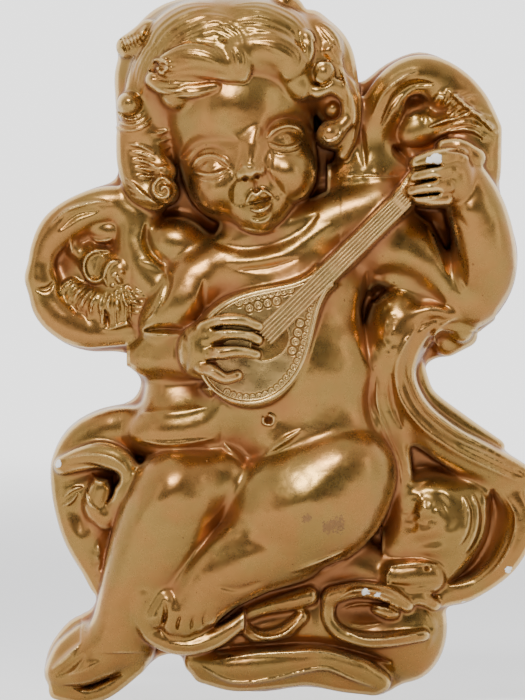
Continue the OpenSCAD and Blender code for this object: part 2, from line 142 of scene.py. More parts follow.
class Lump:
    """One modelled piece: a field over its part of the lattice, and a map of relief pressed into its front."""

    def __init__(self, lattice, x, z, top, fillet=3.0):
        self.lattice = g = lattice
        self.fillet = fillet

        def cells(a, low, high):
            return (max(0, int((low - g.lo[a]) / g.step)), min(g.n[a], int((high - g.lo[a]) / g.step) + 2))
        self.i = cells(0, *x)
        self.j = (0, cells(1, 0, top)[1])
        self.k = cells(2, *z)
        self.field = np.full((self.i[1] - self.i[0], self.j[1], self.k[1] - self.k[0]), FAR, np.float32)
        self.relief = np.zeros((self.field.shape[0], self.field.shape[2]), np.float32)

    def window(self, x0, x1, z0, z1):
        g = self.lattice
        i = max(self.i[0], int((x0 - g.lo[0]) / g.step)), min(self.i[1], int((x1 - g.lo[0]) / g.step) + 2)
        k = max(self.k[0], int((z0 - g.lo[2]) / g.step)), min(self.k[1], int((z1 - g.lo[2]) / g.step) + 2)
        at = slice(i[0] - self.i[0], i[1] - self.i[0]), slice(k[0] - self.k[0], k[1] - self.k[0])
        return at, g.axis(0, *i)[:, None], g.axis(2, *k)[None, :], g.axis(1, *self.j)

    def put(self, at, distance, blend, mode):
        was = self.field[at[0], :, at[1]]
        if mode == "add":
            self.field[at[0], :, at[1]] = smooth_min(was, distance, blend)
        else:
            self.field[at[0], :, at[1]] = smooth_max(was, -distance, blend)

    def limb(self, rows, blend=3.0, round=1.0, smooth=5, mode="add", margin=8):
        """A tapering roll through rows of (across, up, radius, crest); round is its depth for its width."""
        p = spline(rows, smooth) if smooth > 1 and len(rows) > 2 else np.array(rows, float)
        low, high = (p[:, :2] - p[:, 2:3]).min(0) - margin, (p[:, :2] + p[:, 2:3]).max(0) + margin
        at, X, Z, D = self.window(low[0], high[0], low[1], high[1])
        best = np.full(np.broadcast(X, Z).shape, 1e9, np.float32)
        radius, crest = best.copy(), best.copy()
        for a, b in zip(p[:-1], p[1:]):
            vx, vz = b[0] - a[0], b[1] - a[1]
            t = np.clip(((X - a[0]) * vx + (Z - a[1]) * vz) / (vx * vx + vz * vz + 1e-9), 0, 1)
            r = a[2] + t * (b[2] - a[2])
            d = np.hypot(X - a[0] - t * vx, Z - a[1] - t * vz) - r
            near = d < best
            best = np.where(near, d, best)
            radius = np.where(near, r, radius)
            crest = np.where(near, a[3] + t * (b[3] - a[3]), crest)
        soft = int(0.2 * p[:, 2].mean() / self.lattice.step)
        best, radius, crest = blurred(best, soft), blurred(radius, soft), blurred(crest, soft)
        q = np.maximum(best + radius, 0)
        above = np.maximum(D[None, :, None] - (crest - radius * round)[:, None, :], 0) / round
        d = np.sqrt((q * q)[:, None, :] + above * above) - radius[:, None, :]
        self.put(at, d * min(1, round ** 0.5), blend, mode)
        return self

    def turned(self, x, z, turn, X, Z):
        c, s = math.cos(math.radians(turn)), math.sin(math.radians(turn))
        return (X - x) * c + (Z - z) * s, (Z - z) * c - (X - x) * s

    def blob(self, x, z, rx, rz, top, rd=None, turn=0.0, blend=3.0, mode="add", margin=8):
        """An egg that reaches out to top, or with mode "cut" a cavity that reaches in to top."""
        rd = rd or min(rx, rz)
        R = max(rx, rz) + margin
        at, X, Z, D = self.window(x - R, x + R, z - R, z + R)
        u, v = self.turned(x, z, turn, X, Z)
        dd = np.maximum(D - (top - rd), 0) if mode == "add" else np.minimum(D - (top + rd), 0)
        dd = dd[None, :, None]
        k0 = np.sqrt(((u / rx) ** 2 + (v / rz) ** 2)[:, None, :] + (dd / rd) ** 2)
        k1 = np.sqrt(((u / rx ** 2) ** 2 + (v / rz ** 2) ** 2)[:, None, :] + (dd / rd ** 2) ** 2) + 1e-6
        d = k0 * (k0 - 1) / k1
        self.put(at, np.maximum(d, -min(rx, rz, rd)).astype(np.float32), blend, mode)
        return self

    def stroke(self, points, w, h, smooth=6, taper=0.35, soft=2.0, strands=0, cut=0.0, skew=0.0):
        """A ridge (h > 0) or groove (h < 0) along the points, w wide; strands grooves, cut deep, run on it."""
        p = spline([(q[0], q[1]) for q in points], smooth)
        reach = w * 2.2
        at, X, Z, _ = self.window(p[:, 0].min() - reach, p[:, 0].max() + reach,
                                  p[:, 1].min() - reach, p[:, 1].max() + reach)
        best = np.full(np.broadcast(X, Z).shape, 1e9, np.float32)
        along, side = best * 0, best * 0
        n = len(p) - 1
        for i, (a, b) in enumerate(zip(p[:-1], p[1:])):
            vx, vz = b[0] - a[0], b[1] - a[1]
            t = np.clip(((X - a[0]) * vx + (Z - a[1]) * vz) / (vx * vx + vz * vz + 1e-9), 0, 1)
            dx, dz = X - a[0] - t * vx, Z - a[1] - t * vz
            q = np.hypot(dx, dz)
            near = q < best
            best = np.where(near, q, best)
            along = np.where(near, (i + t) / n, along)
            side = np.where(near, np.sign(vx * dz - vz * dx), side)
        fade = np.sqrt(np.clip(np.minimum(along, 1 - along) / max(taper, 1e-6), 0, 1)) if taper else 1.0
        half = 0.5 * w * np.maximum(fade, 0.3)
        v = side * best / half
        if skew:
            v = v + skew * (1 - np.minimum(v * v, 1))
        shape = np.exp(-np.abs(v) ** soft)
        if strands:
            shape = shape * (1 - cut * (0.5 - 0.5 * np.cos(v * math.pi * strands)))
        self.relief[at] += h * fade * shape
        return self

    def bump(self, x, z, rx, rz, h, turn=0.0):
        """A soft swelling (h > 0) or dent (h < 0)."""
        R = max(rx, rz) * 2.5
        at, X, Z, _ = self.window(x - R, x + R, z - R, z + R)
        u, v = self.turned(x, z, turn, X, Z)
        self.relief[at] += h * np.exp(-(u / rx) ** 2 - (v / rz) ** 2)
        return self

    def curl(self, x, z, r, turns, turn, w, h, hand=1):
        """A ridge that winds out from a point: a ringlet seen end on."""
        a = np.linspace(0, 1, int(10 * turns) + 4)
        angle = math.radians(turn) - hand * (1 - a) * turns * 2 * math.pi
        return self.stroke(np.stack([x + a * r * np.cos(angle), z + a * r * np.sin(angle)], 1), w, h,
                           smooth=2, taper=0.12)

    def done(self):
        self.field -= self.relief[:, None, :]
        return self


# The figure's pieces. Every number is a place or a size in drawn millimetres.

OUTLINE = [(-35, 303), (-50, 300), (-60, 291), (-69, 284), (-71, 262), (-70, 238), (-72, 226), (-84, 220),
           (-97, 213), (-105, 200), (-109, 185), (-105, 171), (-96, 158), (-84, 152), (-70, 151), (-61, 147),
           (-60, 136), (-66, 129), (-80, 125), (-92, 117), (-98, 104), (-98, 90), (-93, 72), (-85, 59),
           (-79, 48), (-81, 40), (-92, 34), (-100, 23), (-101, 12), (-96, 3), (-84, 0.6), (-72, 4), (-60, 15),
           (-46, 20), (-34, 12), (-12, 4), (8, 6), (24, 5), (44, 3), (58, 12), (67, 24), (69, 40), (82, 44),
           (95, 55), (104, 72), (109, 88), (107, 99), (92, 110), (76, 121), (62, 131), (60, 143), (72, 151),
           (83, 160), (96, 174), (101, 193), (98, 206), (93, 222), (95, 238), (93, 252), (85, 266), (73, 276),
           (60, 281), (46, 276), (34, 268), (28, 276), (22, 288), (11, 295), (6, 302), (-12, 303)]
SLAB_FACE = 9.5
SLAB_EDGE = 5.0


def back_slab(g):
    """The flat back, inside the figure's outline; the hanger's recess is sunk into it later, by the figure
    operator.
    """
    s = Lump(g, (-115, 115), (-4, 307), 14, 5.0)
    _, X, Z, D = s.window(-115, 115, -4, 307)
    p = spline(OUTLINE, 4, closed=True)
    near = np.full(np.broadcast(X, Z).shape, 1e9, np.float32)
    inside = np.zeros(near.shape, bool)
    for a, b in zip(p, np.roll(p, -1, 0)):
        vx, vz = b - a
        t = np.clip(((X - a[0]) * vx + (Z - a[1]) * vz) / (vx * vx + vz * vz + 1e-9), 0, 1)
        near = np.minimum(near, np.hypot(X - a[0] - t * vx, Z - a[1] - t * vz))
        if abs(vz) > 1e-9:
            inside ^= ((a[1] > Z) != (b[1] > Z)) & (X < (Z - a[1]) * vx / vz + a[0])
    edge = np.where(inside, -near, near)
    s.field[:] = smooth_max(edge[:, None, :], D[None, :, None] - SLAB_FACE, SLAB_EDGE)
    return s.done()


def torso(g):
    s = Lump(g, (-68, 62), (92, 226), 54, 6)
    s.blob(2, 177, 37, 25, 41, 26, 8, 6)
    s.blob(8, 145, 35, 34, 44, 27, 0, 8)
    s.blob(12, 116, 36, 22, 40, 24, 0, 8)
    s.limb([(-8, 192, 14, 38), (-26, 187, 14, 38), (-38, 178, 13, 36)], 7, 1.1)
    s.limb([(4, 195, 14, 38), (22, 205, 15, 37), (42, 214, 13, 36)], 7, 1.0)
    s.limb([(-14, 203, 13, 36), (2, 204, 13, 37)], 5)
    s.blob(-44, 197, 15, 12, 31, 14, -20, 5)
    s.blob(-42, 118, 26, 13, 36, 18, 6, 10)
    s.blob(-18, 128, 22, 24, 38, 24, 0, 10)
    s.limb([(-44, 120, 13, 30), (-46, 132, 13, 28), (-44, 146, 13, 27)], 9)
    # collar bones and the folds of the neck
    s.stroke([(-24, 189), (-12, 190.5), (0, 193), (12, 199), (22, 206)], 8, 1.0, soft=2)
    s.stroke([(-30, 198), (-18, 195.5), (-4, 197), (8, 203), (16, 210)], 7, -1.6)
    s.stroke([(-20, 186), (-6, 187), (8, 191)], 3, -0.8)
    # hip crease, belly and navel
    s.stroke([(-25, 128), (-25, 119), (-26, 111)], 5, -0.9, taper=0.4, soft=1.5)
    s.stroke([(-25, 112), (-20, 107), (-15, 102)], 3, 2.2)
    s.stroke([(-58, 107), (-44, 107), (-30, 109.5)], 4, -2.0)
    s.stroke([(-8, 106), (0, 112), (9, 118)], 3, 1.6)
    s.bump(-18, 113, 8, 9, -2.4, -30)
    s.stroke([(-60, 113), (-50, 111.4), (-40, 112), (-29, 114)], 3.0, 1.3)
    s.stroke([(-60, 125), (-46, 125), (-32, 127)], 4.0, 0.8)
    s.stroke([(-7.5, 123.5), (-7.5, 120.5), (-4, 120), (-3.4, 123), (-6, 124.2)], 1.3, 1.2, taper=0.05)
    s.bump(-5.5, 122, 1.6, 1.3, -1.6)
    s.bump(-3, 112, 7, 5, 1.6, 40)
    # the side, where the drapery starts
    s.stroke([(37, 186), (36, 172), (36.5, 155), (39, 143)], 5, -2.6)
    s.stroke([(38, 140), (38, 125), (42, 112)], 4, -1.4)
    s.bump(14, 178, 12, 10, 1.4)
    return s.done()


def right_upper_arm(g):
    s = Lump(g, (-68, -22), (148, 200), 52, 4)
    s.limb([(-37, 182, 12, 38), (-45, 171, 12.5, 39), (-51, 163, 10.5, 37)], 4, 1.2)
    s.bump(-38, 172, 7, 10, 1.6, -30)
    s.stroke([(-33, 182), (-33.5, 173), (-33, 165)], 2.6, -2.4)
    s.stroke([(-52, 188), (-48, 182), (-50, 174), (-55, 166)], 3, -1.2)
    s.stroke([(-59, 160), (-50, 161), (-40, 159.8)], 3.4, -3.2)
    s.stroke([(-58, 164), (-54, 168), (-50, 176)], 1.2, 0.9)
    return s.done()


def right_forearm(g):
    s = Lump(g, (-66, -26), (132, 164), 52, 4)
    s.limb([(-57, 149, 9, 31), (-47, 149.5, 10, 37), (-38, 151, 11, 43)], 2, 1.1)
    s.stroke([(-60, 158), (-50, 158), (-41, 158.5)], 1.6, 0.9)
    s.bump(-52, 147, 5, 3, 0.8)
    s.stroke([(-43, 160), (-44.5, 151), (-42, 141)], 2.2, -1.0)
    return s.done()


def right_hand(g):
    s = Lump(g, (-48, -4), (130, 172), 62, 1.2)
    s.blob(-34, 151.5, 10.5, 12, 51, 12, 0, 3)
    s.blob(-29, 158, 6, 7, 51.5, 7, 20, 3)
    s.limb([(-33, 161, 3.2, 50), (-26, 164, 2.7, 54), (-17, 164.2, 2.5, 55), (-9.5, 161.8, 2.0, 51)], 1.0,
           1.2)
    s.limb([(-31, 156, 3.0, 51.5), (-24, 158.6, 2.6, 55), (-16, 158.6, 2.4, 55.2), (-9.8, 156, 2, 51)], 1.0,
           1.2)
    s.limb([(-31, 150, 3.2, 52.5), (-26.5, 150.4, 2.9, 56), (-18, 151.4, 2.5, 55.5), (-10.4, 149.8, 1.9, 51)],
           1.0, 1.2)
    s.limb([(-34, 144.5, 3.2, 51), (-29.5, 142.8, 2.8, 54.8), (-24, 139.8, 2.4, 54.5), (-18.6, 141, 2.2, 51)],
           1.0, 1.2)
    for a, b in (((-31, 161), (-12, 160)), ((-30, 154.2), (-12, 153.6)), ((-32, 146.8), (-22, 145.6))):
        s.stroke([a, ((a[0] + b[0]) / 2, (a[1] + b[1]) / 2 + 0.8), b], 1.3, -1.6, taper=0.2)
    for x, z in ((-26.5, 164.3), (-24.5, 158.8), (-27, 150.6), (-29.5, 142.8)):
        s.bump(x, z, 1.8, 1.6, 0.7)
    for x, z, turn in ((-10.6, 162, -18), (-10.9, 156.2, -8), (-11.4, 150, -6), (-19.6, 140.8, 20)):
        s.bump(x, z, 1.1, 0.8, -0.35, turn)
    s.stroke([(-42, 160), (-40, 151), (-41, 142)], 3, -0.8)
    s.bump(-36, 157, 4, 4, 0.7)
    return s.done()


def left_upper_arm(g):
    s = Lump(g, (26, 92), (160, 226), 50, 7)
    s.limb([(36, 205, 15, 34), (54, 193, 17, 33), (68, 183, 14, 31), (78, 175, 12, 29)], 5, 0.9)
    s.stroke([(40, 184), (48, 185), (56, 182.5), (64, 177), (70, 171)], 9, -3.4)
    s.stroke([(65, 208), (70, 198), (74, 186), (77, 176)], 6, -4.0)
    s.stroke([(63, 205), (67, 196), (71, 184)], 2, 0.9)
    s.bump(58, 192, 9, 12, 1.2, 30)
    return s.done()


def left_forearm(g):
    s = Lump(g, (62, 108), (156, 234), 54, 6)
    s.limb([(79, 224, 10, 43), (84, 211, 12.5, 44), (87, 197, 13.5, 43), (87, 185, 14, 39),
            (83, 174, 12, 32)], 3, 1.0)
    s.bump(80, 211, 6, 5, 1.5, 30)
    s.stroke([(70, 213), (76, 208), (80, 203)], 3, -0.6)
    s.stroke([(70, 212), (72, 200), (76, 188), (79, 178)], 6, -1.6)
    return s.done()


def left_hand(g):
    s = Lump(g, (44, 94), (204, 252), 62, 1.4)
    s.blob(74, 226, 9.5, 12, 48.5, 12, 15, 4)
    s.limb([(76, 234, 4.4, 46), (67, 233.4, 4.2, 51), (58, 231.4, 3.1, 49)], 1.2, 1.1)
    s.limb([(73, 228.4, 3.8, 49.5), (65, 226.8, 3.5, 53), (57, 225.2, 2.6, 50)], 1.0, 1.1)
    s.limb([(71, 222, 3.8, 50), (63, 220.6, 3.4, 53), (55.5, 219.4, 2.6, 50)], 1.0, 1.1)
    s.limb([(70, 216.6, 3.2, 48), (63, 215.8, 2.6, 50), (58, 216.4, 2.0, 48)], 1.2, 1.1)
    s.limb([(83, 234, 4.5, 40), (76, 239, 3.2, 41.5), (69, 239.6, 2.2, 39)], 2, 0.9)
    for points in ([(55.5, 228.6), (62, 229.6), (69, 230.4)], [(54, 222.2), (60, 223.4), (68, 225)],
                   [(55, 217.4), (62, 218), (69, 219)]):
        s.stroke(points, 1.5, -1.5, taper=0.2)
    s.stroke([(70, 236.8), (76, 236.6), (81, 234)], 1.6, -1.2)
    for x, z in ((66, 234), (64.5, 227.4), (63, 221), (62.5, 216)):
        s.bump(x, z, 2.4, 1.8, 0.7)
    s.bump(80, 215, 6, 5, 1.3, 30)
    return s.done()


def left_leg(g):
    s = Lump(g, (-44, 62), (40, 132), 60, 3)
    s.blob(11, 86, 37, 29, 52, 26, 22, 4)
    s.blob(28, 101, 21, 19, 48, 22, 0, 8)
    s.bump(8, 88, 14, 7, 1.2, 30)
    s.stroke([(-12, 54), (0, 56), (14, 60.5), (27, 66)], 2.2, 1.6)
    s.stroke([(-14, 51.5), (0, 52.6), (14, 56.5), (28, 62)], 2.4, -2.6)
    s.stroke([(-6, 50), (10, 48.5), (24, 51.5), (36, 60), (40, 68)], 3, 1.6)
    return s.done()


def left_shin(g):
    s = Lump(g, (-66, 30), (30, 106), 58, 3)
    s.limb([(2, 72, 21, 46), (-12, 66, 19, 46), (-28, 55, 16, 44), (-37, 45, 13, 41)], 6, 0.9)
    s.stroke([(-15, 101), (-25, 85), (-41, 69), (-55.4, 50), (-58.6, 42)], 2.2, 2.8, taper=0.15)
    s.stroke([(-13, 97), (-22, 83), (-38, 66), (-51, 50)], 5, -2.4, taper=0.2)
    s.bump(-6, 72, 16, 4, -1.2, 18)
    s.stroke([(-27, 51), (-18, 50), (-8, 53)], 3, -1.2)
    return s.done()


def left_foot(g):
    s = Lump(g, (-64, -16), (18, 62), 52, 1.6)
    s.limb([(-32, 48, 12, 41), (-40, 40, 12, 40), (-43, 36, 10, 38)], 3, 1.0)
    s.limb([(-49, 44, 5, 40), (-53.5, 38, 4.4, 39), (-54, 36, 3.6, 38)], 2, 1.1)
    for x, z, r in ((-47, 33.6, 3.3), (-41, 33, 3.3), (-35.4, 34.6, 2.9), (-30.6, 37, 2.7)):
        s.limb([(x + 1.5, z + 6, r, 39.6), (x, z, r, 38.4)], 2.4, 1.1)
    s.stroke([(-50, 45), (-49.6, 40), (-50.5, 34)], 1.8, -1.2, taper=0.3)
    for x, z in ((-44.2, 35), (-38.2, 35.2), (-33, 37.4)):
        s.stroke([(x + 1.2, z + 3.5), (x, z), (x - 0.4, z - 3.5)], 1.2, -1.1, taper=0.3)
    s.limb([(-58.5, 46, 2.4, 38), (-59.6, 38, 2.8, 36.5), (-56.6, 30.6, 3.4, 35), (-49, 26.4, 4.2, 34.5),
            (-40, 25.4, 4.6, 34.5), (-29, 27.8, 4.2, 34.5), (-19.6, 33.4, 3.2, 34), (-14, 38.6, 2.4, 33)],
           2.5, 1.0)
    s.stroke([(-48, 26), (-39, 25), (-30, 27.6)], 3.0, 0.8)
    s.bump(-54, 37, 1.8, 1.8, 0.5)
    return s.done()


def right_leg(g):
    s = Lump(g, (-86, -8), (22, 118), 56, 4)
    s.limb([(-26, 96, 15, 40), (-42, 92, 18, 46)], 6, 1.1)
    s.limb([(-46, 88, 20, 47), (-51, 74, 21, 45), (-59, 55, 17.5, 40), (-67, 38, 13, 34), (-71, 28, 12, 31)],
           6, 0.95)
    s.bump(-53, 86, 12, 6, 1.2, 45)
    s.stroke([(-64, 100), (-70, 90), (-73, 78), (-76, 64)], 3, -1.2)
    return s.done()


def right_foot(g):
    s = Lump(g, (-108, -46), (-4, 46), 44, 3)
    s.limb([(-70, 28, 12, 31), (-79, 19, 11, 29), (-88, 14, 9, 26), (-94, 12, 7, 22)], 4, 1.0)
    s.limb([(-84, 26, 8, 20), (-92, 20, 7, 20), (-96, 12, 6, 18)], 4, 1.0)
    s.blob(-64, 21, 10, 8, 26, 12, 30, 4)
    s.stroke([(-99, 14), (-93, 19), (-86, 26)], 2.4, 1.6)
    s.stroke([(-97, 11), (-91, 15), (-84, 21)], 3, -1.8)
    s.stroke([(-92, 12), (-84, 14.5), (-78, 18)], 4, 1.2)
    s.stroke([(-94, 7), (-84, 6.8), (-76, 9.8), (-68, 12.6)], 3.0, -1.6)
    s.limb([(-97, 4.2, 3.4, 18), (-86, 2.6, 3.8, 19.5), (-77, 4.6, 3.8, 21), (-69, 9.5, 3.4, 22),
            (-62, 15, 3, 23)], 3, 1.0)
    return s.done()


def head(g):
    s = Lump(g, (-62, 28), (192, 302), 66, 2.0)
    s.blob(-19, 256, 33, 32, 53, 32, 0, 4)
    s.blob(-14.5, 236, 29.5, 31, 53, 31, -14, 6)
    s.blob(-25.5, 222, 11.5, 11, 51.5, 13, 0, 5)
    s.blob(2, 227, 12, 13, 52, 14, -10, 5)
    s.blob(-9, 212, 12, 9, 50, 12, 12, 5)
    s.blob(-8.6, 208.5, 5, 4, 51.5, 6, 12, 3)
    # brow and eye sockets
    s.bump(-22, 256, 20, 10, 1.2, 14)
    s.stroke([(-43, 234), (-36, 240), (-26, 241), (-18, 240)], 6, -2.0)
    s.stroke([(-10, 240), (-4, 248), (6, 251), (14, 246)], 6, -2.0)
    s.bump(-30.5, 232, 8, 5.4, -2.2, 8)
    s.bump(2, 242.5, 8, 5.4, -2.2, 14)
    s.bump(-31, 230.6, 4.6, 3.0, 2.5, 8)
    s.bump(2.2, 242, 4.6, 3.0, 2.5, 14)
    for points, w, h in (
            ([(-38.8, 229), (-35.5, 233), (-30, 234.6), (-25, 232.8), (-21.8, 229.6)], 2.3, 1.7),
            ([(-38, 228), (-32.5, 226.4), (-27, 226.8), (-22.2, 228.8)], 2.1, 1.5),
            ([(-36, 224.6), (-30, 223.4), (-25, 224.6), (-21.6, 227.4)], 1.3, 0.7),
            ([(-39.5, 231.5), (-35, 237), (-29, 238.2), (-23.5, 236)], 1.6, -0.9),
            ([(-6, 241.6), (-3, 245.2), (2, 247.2), (7, 246.6), (10.2, 243.4)], 2.3, 1.7),
            ([(-5.8, 240), (-1, 238), (5, 238.4), (9.8, 241.6)], 2.1, 1.5),
            ([(-4.2, 236.6), (1, 235.2), (6.5, 236.4), (10, 239.4)], 1.3, 0.7),
            ([(-6.5, 244.6), (-3, 249.4), (3, 251), (9, 249.8)], 1.6, -0.9)):
        s.stroke(points, w, h, taper=0.2)
    for x, z in ((-30.2, 230.6), (2.4, 242.2)):
        s.bump(x, z, 2.4, 2.2, 0.5)
        s.bump(x, z, 0.9, 0.9, -0.7)
    # nose
    s.stroke([(-9.5, 247), (-12, 239), (-13.2, 231)], 10, 2.2, taper=0.5)
    s.limb([(-11.4, 243, 2.2, 50.6), (-12.8, 235, 2.8, 53.4), (-13.3, 229.4, 3.5, 57.4)], 4, 1.0)
    s.blob(-16.8, 226.6, 2.8, 2.4, 54.8, 4, 20, 1.6)
    s.blob(-9.6, 228.4, 2.8, 2.4, 54.8, 4, 20, 1.6)
    s.blob(-13, 226.8, 3.0, 2.2, 56.4, 4, 14, 1.6)
    s.bump(-15.4, 224.6, 1.1, 0.8, -1.8, 14)
    s.bump(-10.4, 225.6, 1.1, 0.8, -1.8, 14)
    # mouth
    s.bump(-9.4, 215, 9, 6, 1.6, 14)
    s.stroke([(-11, 222.6), (-10.6, 219.6)], 1.6, -0.9, taper=0)
    s.stroke([(-15.2, 214.2), (-12.6, 218.4), (-10.4, 217.8), (-7.6, 219.6), (-3.4, 217)], 2.2, 1.7,
             taper=0.3)
    s.stroke([(-14.4, 214), (-10.6, 214.6), (-7, 215.6), (-3.8, 216.6)], 1.8, -2.4, taper=0.3)
    s.stroke([(-13.6, 211.6), (-9.6, 210.8), (-6, 212.2), (-3.8, 214.6)], 2.4, 1.8, taper=0.35)
    s.stroke([(-13, 208.4), (-9, 207.6), (-4.8, 209.4)], 2.0, -1.4)
    s.bump(-16.6, 214, 1.6, 1.6, -1.0)
    s.bump(-2.2, 217.6, 1.6, 1.6, -1.0)
    # cheeks, chin and jaw
    s.stroke([(-18, 224), (-20, 219), (-19.4, 213)], 4, -1.5)
    s.stroke([(-6.6, 228), (-2.4, 222.6), (1.4, 217.6)], 4, -1.5)
    s.bump(-26.5, 220, 7, 7, 2.2)
    s.bump(3.4, 228, 8, 8, 2.2)
    s.stroke([(-4.6, 238), (-4.4, 230), (-3.2, 223)], 1.4, 0.6)
    s.stroke([(2, 216.6), (6, 214.4), (10, 217)], 1.6, -0.7)
    s.stroke([(-20, 204.6), (-10, 201.8), (0, 203.4), (9, 210)], 3, 1.4)
    return s.done()


def hair_crown(g):
    s = Lump(g, (-78, 40), (206, 308), 66, 2.5)
    s.limb([(-52, 238, 9, 31), (-52.5, 256, 11, 37), (-50, 271, 14, 44), (-40, 284, 16, 50),
            (-22, 287, 16, 52), (-4, 286, 15, 51), (10, 279, 13, 47), (19, 268, 11, 43), (24, 254, 8, 34)], 4,
           1.2)
    s.limb([(-62, 238, 8, 26), (-63, 256, 8, 27), (-62, 274, 9, 28), (-50, 291, 9, 28), (-32, 295, 9, 30),
            (-10, 295, 9, 32), (4, 294, 8, 28)], 5)
    s.limb([(-44, 262, 8, 51), (-38, 270, 10, 53), (-20, 277, 11, 55), (0, 275, 10, 52), (8, 264, 6, 50)], 5)
    locks = (([(-52, 262), (-47, 272), (-36, 280), (-24, 282)], 13, 1.6),
             ([(-55, 270), (-48, 283), (-34, 291), (-20, 292)], 12, 1.5),
             ([(-60, 272), (-54, 288), (-42, 297), (-28, 299)], 10, 1.2),
             ([(-24, 290), (-10, 291), (2, 287), (8, 279)], 12, 1.6),
             ([(-20, 283), (-8, 285), (3, 281), (9, 272)], 10, 1.4),
             ([(-22, 298), (-8, 298), (4, 293), (12, 285)], 9, 1.2),
             ([(-38, 285), (-28, 289), (-19, 284), (-17, 275)], 10, 1.4))
    for points, w, h in locks:
        s.stroke(points, w, 0.75 * h, taper=0.35, soft=3, strands=4, cut=0.34)
    s.stroke([(-27, 284), (-20, 280), (-17.4, 272), (-17.2, 266)], 2.2, -2.4)
    for i in range(5):
        z = 244 - 3.6 * i
        s.stroke([(-70, z - 1), (-62, z + 1.4), (-54, z + 0.4), (-47, z + 2.5)], 2.6, 1.5, taper=0.3)
    for i in range(6):
        s.stroke([(-69 + 1.5 * i, 250 + i), (-66 + 1.4 * i, 262), (-64 + 1.8 * i, 274), (-58 + 2.6 * i, 285)],
                 1.6, 0.8, taper=0.3)
    return s.done()


def forelock(g):
    s = Lump(g, (-62, 18), (254, 290), 66, 1.4)
    s.limb([(-47, 273, 6, 54), (-37, 275, 7.5, 57), (-27, 273, 6.5, 57.4), (-20.5, 268.5, 3.4, 55.4)], 3, 0.8)
    s.limb([(-19, 279, 6, 57), (-17, 273, 5, 57.6), (-16.5, 268, 3, 56)], 2, 1.0)
    s.limb([(-12, 280, 7, 56), (-2, 279, 7.5, 56), (5, 274, 6.5, 54), (3, 269.5, 3.6, 53)], 3, 0.8)
    s.limb([(-54, 267, 4, 48), (-47, 263.5, 3.8, 52), (-38, 262.4, 3, 53.6), (-28, 263.6, 2.2, 54)], 1.5, 1.0)
    s.stroke([(-50, 277), (-40, 279.5), (-30, 277.5), (-22, 271)], 9, 0.8, soft=3, strands=4, cut=0.45)
    s.stroke([(-44, 270), (-36, 270.6), (-28, 269.2), (-22, 268)], 3, -0.9)
    s.stroke([(-21, 281), (-18.6, 275), (-18.4, 269)], 7, 0.9, soft=3, strands=4, cut=0.6)
    s.stroke([(-13, 283), (-3, 282.6), (6, 277), (5, 270)], 11, 0.8, soft=3, strands=4, cut=0.4)
    s.curl(-51.5, 271.5, 5.4, 1.2, 200, 1.8, 1.8)
    for i in range(6):
        s.stroke([(-58 + 0.8 * i, 278 - 3.4 * i), (-52 + i, 276 - 3.2 * i), (-46 + 1.4 * i, 275 - 2.6 * i)],
                 1.2, -1.0)
    for i in range(3):
        s.stroke([(-56, 265 - 2.2 * i), (-46, 262 - 2.0 * i), (-36, 261 - 1.4 * i), (-27, 262.5 - i)], 1.4,
                 0.7)
    return s.done()


def hair_curls_right(g):
    s = Lump(g, (-76, -42), (206, 296), 60, 1.4)
    s.limb([(-66, 282, 5, 33), (-61, 284, 6, 37), (-57, 289, 4.6, 36)], 2)
    s.stroke([(-68, 282.6), (-64, 284), (-60, 286.6), (-57.6, 291)], 2.6, 2.0, taper=0.2)
    for i in range(6):
        s.stroke([(-68.6 + 1.6 * i, 285 + 0.4 * i), (-66.6 + 1.5 * i, 280 + 0.6 * i)], 0.9, -1.2, taper=0)
    s.limb([(-60, 268, 6, 36), (-61, 256, 7, 37), (-60, 244, 7, 36)], 3)
    s.blob(-65, 257, 5.4, 5.4, 42.5, 7, 0, 1.5)
    for r, h in ((6.8, 1.4), (9.0, 1.3), (11.2, 1.2)):
        arc = np.radians(np.linspace(190, 330, 8))
        s.stroke(np.stack([-64.6 + r * np.cos(arc), 257 + r * np.sin(arc)], 1), 1.6, h, taper=0.3)
    s.limb([(-64, 244, 7, 33), (-63, 232, 7.5, 33), (-60, 222, 7, 34), (-54, 217.5, 6, 36)], 3)
    s.limb([(-56, 244, 5, 34), (-54, 234, 5, 35), (-50, 228, 5, 37)], 3)
    s.blob(-50, 220, 5.8, 5.8, 42, 7, 0, 1.5)
    s.curl(-50.2, 220, 5.8, 1.4, 60, 1.7, 1.8, -1)
    for i in range(4):
        s.stroke([(-67 + 0.8 * i, 226 - 2.6 * i), (-60, 219.6 - 1.8 * i + 0.6 * i), (-52, 213.6 - 0.2 * i)],
                 1.7, 1.4)
    for i in range(5):
        s.stroke([(-66 + i, 240 - 3.4 * i), (-60 + 0.6 * i, 239 - 3.2 * i), (-54, 236 - 2.6 * i)], 1.7, 1.2)
    s.stroke([(-57, 232), (-53, 229.5), (-48, 230.5)], 2.4, 1.4)
    s.stroke([(-56, 226.5), (-51, 225.6), (-46.5, 223)], 2.6, 1.8)
    return s.done()


